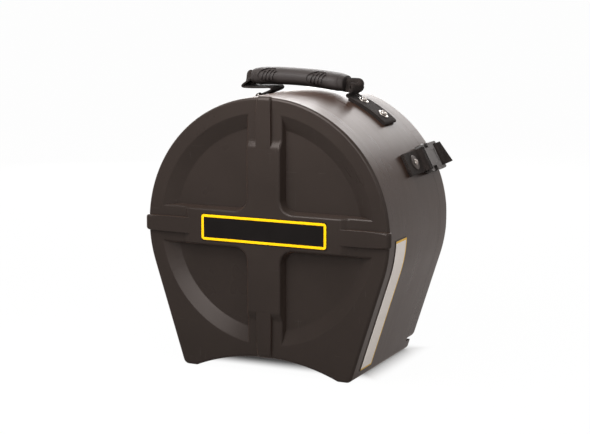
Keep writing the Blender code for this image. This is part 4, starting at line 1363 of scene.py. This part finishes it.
# %% [markdown]
# The case was photographed on a white sweep under big soft lights. Here the floor and the world are
# plain white to the camera and to glass. Mirrors see a slightly warm white, which is dimmer in front
# of the case and close round it, because the dark case and the dark end of a studio show there. As
# light, the floor is dull grey paper and the world a weak grey. Under the case the camera sees lit
# paper, where the shadow lies, and it eases into the white round it.

# %% White floor
floor_size = 30
foot_x, foot_y = 0.003, 0.015
foot_half_x, foot_half_y = 0.118, 0.075
pure_white, warm_white, warm_strength = (1, 1, 1, 1), (1, 0.93, 0.90, 1), 0.95
floor = begin("sweep_floor", bpy.ops.mesh.primitive_plane_add, size=floor_size)
sweep = Finish("white_sweep")
sweep.tree.nodes.remove(sweep.shader)
x, y, _ = sweep.parts(sweep.place())
beyond = (abs(x - foot_x) - foot_half_x).most(abs(y - foot_y) - foot_half_y)
paper = sweep.node("BsdfDiffuse", {"Color": (0.86, 0.85, 0.84, 1)})
white = sweep.node("Emission", {"Color": pure_white, "Strength": 1})
veil = 0.04 + 0.94 * beyond.soft_rise(-0.020, 0.025)
veiled = sweep.node("MixShader", {"Fac": veil, 1: paper, 2: white})
dull_paper = sweep.node("BsdfDiffuse", {"Color": (0.34, 0.33, 0.32, 1)})
warm = sweep.node("Emission", {"Color": warm_white, "Strength": warm_strength})
near_front = y.rise(-1.5, -0.25) * (1 - y.rise(-0.12, 0.05))
near_case = 1 - beyond.rise(0.05, 0.75)
surface = sweep.only_seen(veiled, warm, dull_paper, (0.9 * near_front).most(0.4 * near_case))
sweep.tree.links.new(surface.socket, sweep.tree.nodes["Material Output"].inputs["Surface"])
floor.data.materials.append(sweep.material)
print("floor", floor.name, "is", floor_size, "m wide")

# %% White room
world = bpy.data.worlds.new("white_room")
bpy.context.scene.world = world
world.use_nodes = True
room = Nodes(world.node_tree)
lit = room.node("Background", {"Color": (1, 0.985, 0.97, 1), "Strength": 0.26})
seen = room.node("Background", {"Color": pure_white, "Strength": 1})
warm = room.node("Background", {"Color": warm_white, "Strength": warm_strength})
_, behind_case, _ = room.parts(room.node("TexCoord", output="Generated"))
surface = room.only_seen(seen, warm, lit, 1 - behind_case.soft_rise(-0.55, 0.25))
room.tree.links.new(surface.socket, room.tree.nodes["World Output"].inputs["Surface"])
print("world", world.name)

# %% [markdown]
# Black plastic shows its shape by what it reflects. A broad light in front, a little above the
# camera, brightens the slopes that turn to it, and a weaker one stands at the right. One lamp close
# above the face and one high at its left make its upper half lighter. Two lamps behind the case lay
# the satin band along the top.

# %% Lamps
def soft_light(name, place, size, power):
    """A square lamp that looks at the case's middle and is itself unseen."""
    data = bpy.data.lights.new(name, "AREA")
    data.energy = power
    data.size = size
    lamp = bpy.data.objects.new(name, data)
    lamp.location = place
    lamp.rotation_euler = (Vector(place) - Vector((0, 0, centre_height))).to_track_quat("Z", "Y").to_euler()
    lamp.visible_camera = False
    bpy.context.scene.collection.objects.link(lamp)
    return lamp


lamps = [
    soft_light("front", (0.17, -1.86, 0.94), 1.0, 23),
    soft_light("right", (1.5, -0.7, 0.8), 1.0, 7),
    soft_light("over_face", (-0.05, -0.36, 0.66), 0.35, 4.2),
    soft_light("over_left", (-0.85, -0.35, 1.7), 1.2, 6),
    soft_light("rear_top", (0.0, 1.9, 1.2), 1.2, 15),
    soft_light("rear_left", (-0.9, 1.6, 0.6), 1.0, 17),
]
print("lamps:", [lamp.name for lamp in lamps])

# %% [markdown]
# The photograph's plain tones need no film look, so the view transform is Standard.

# %% View transform
bpy.context.scene.view_settings.view_transform = "Standard"
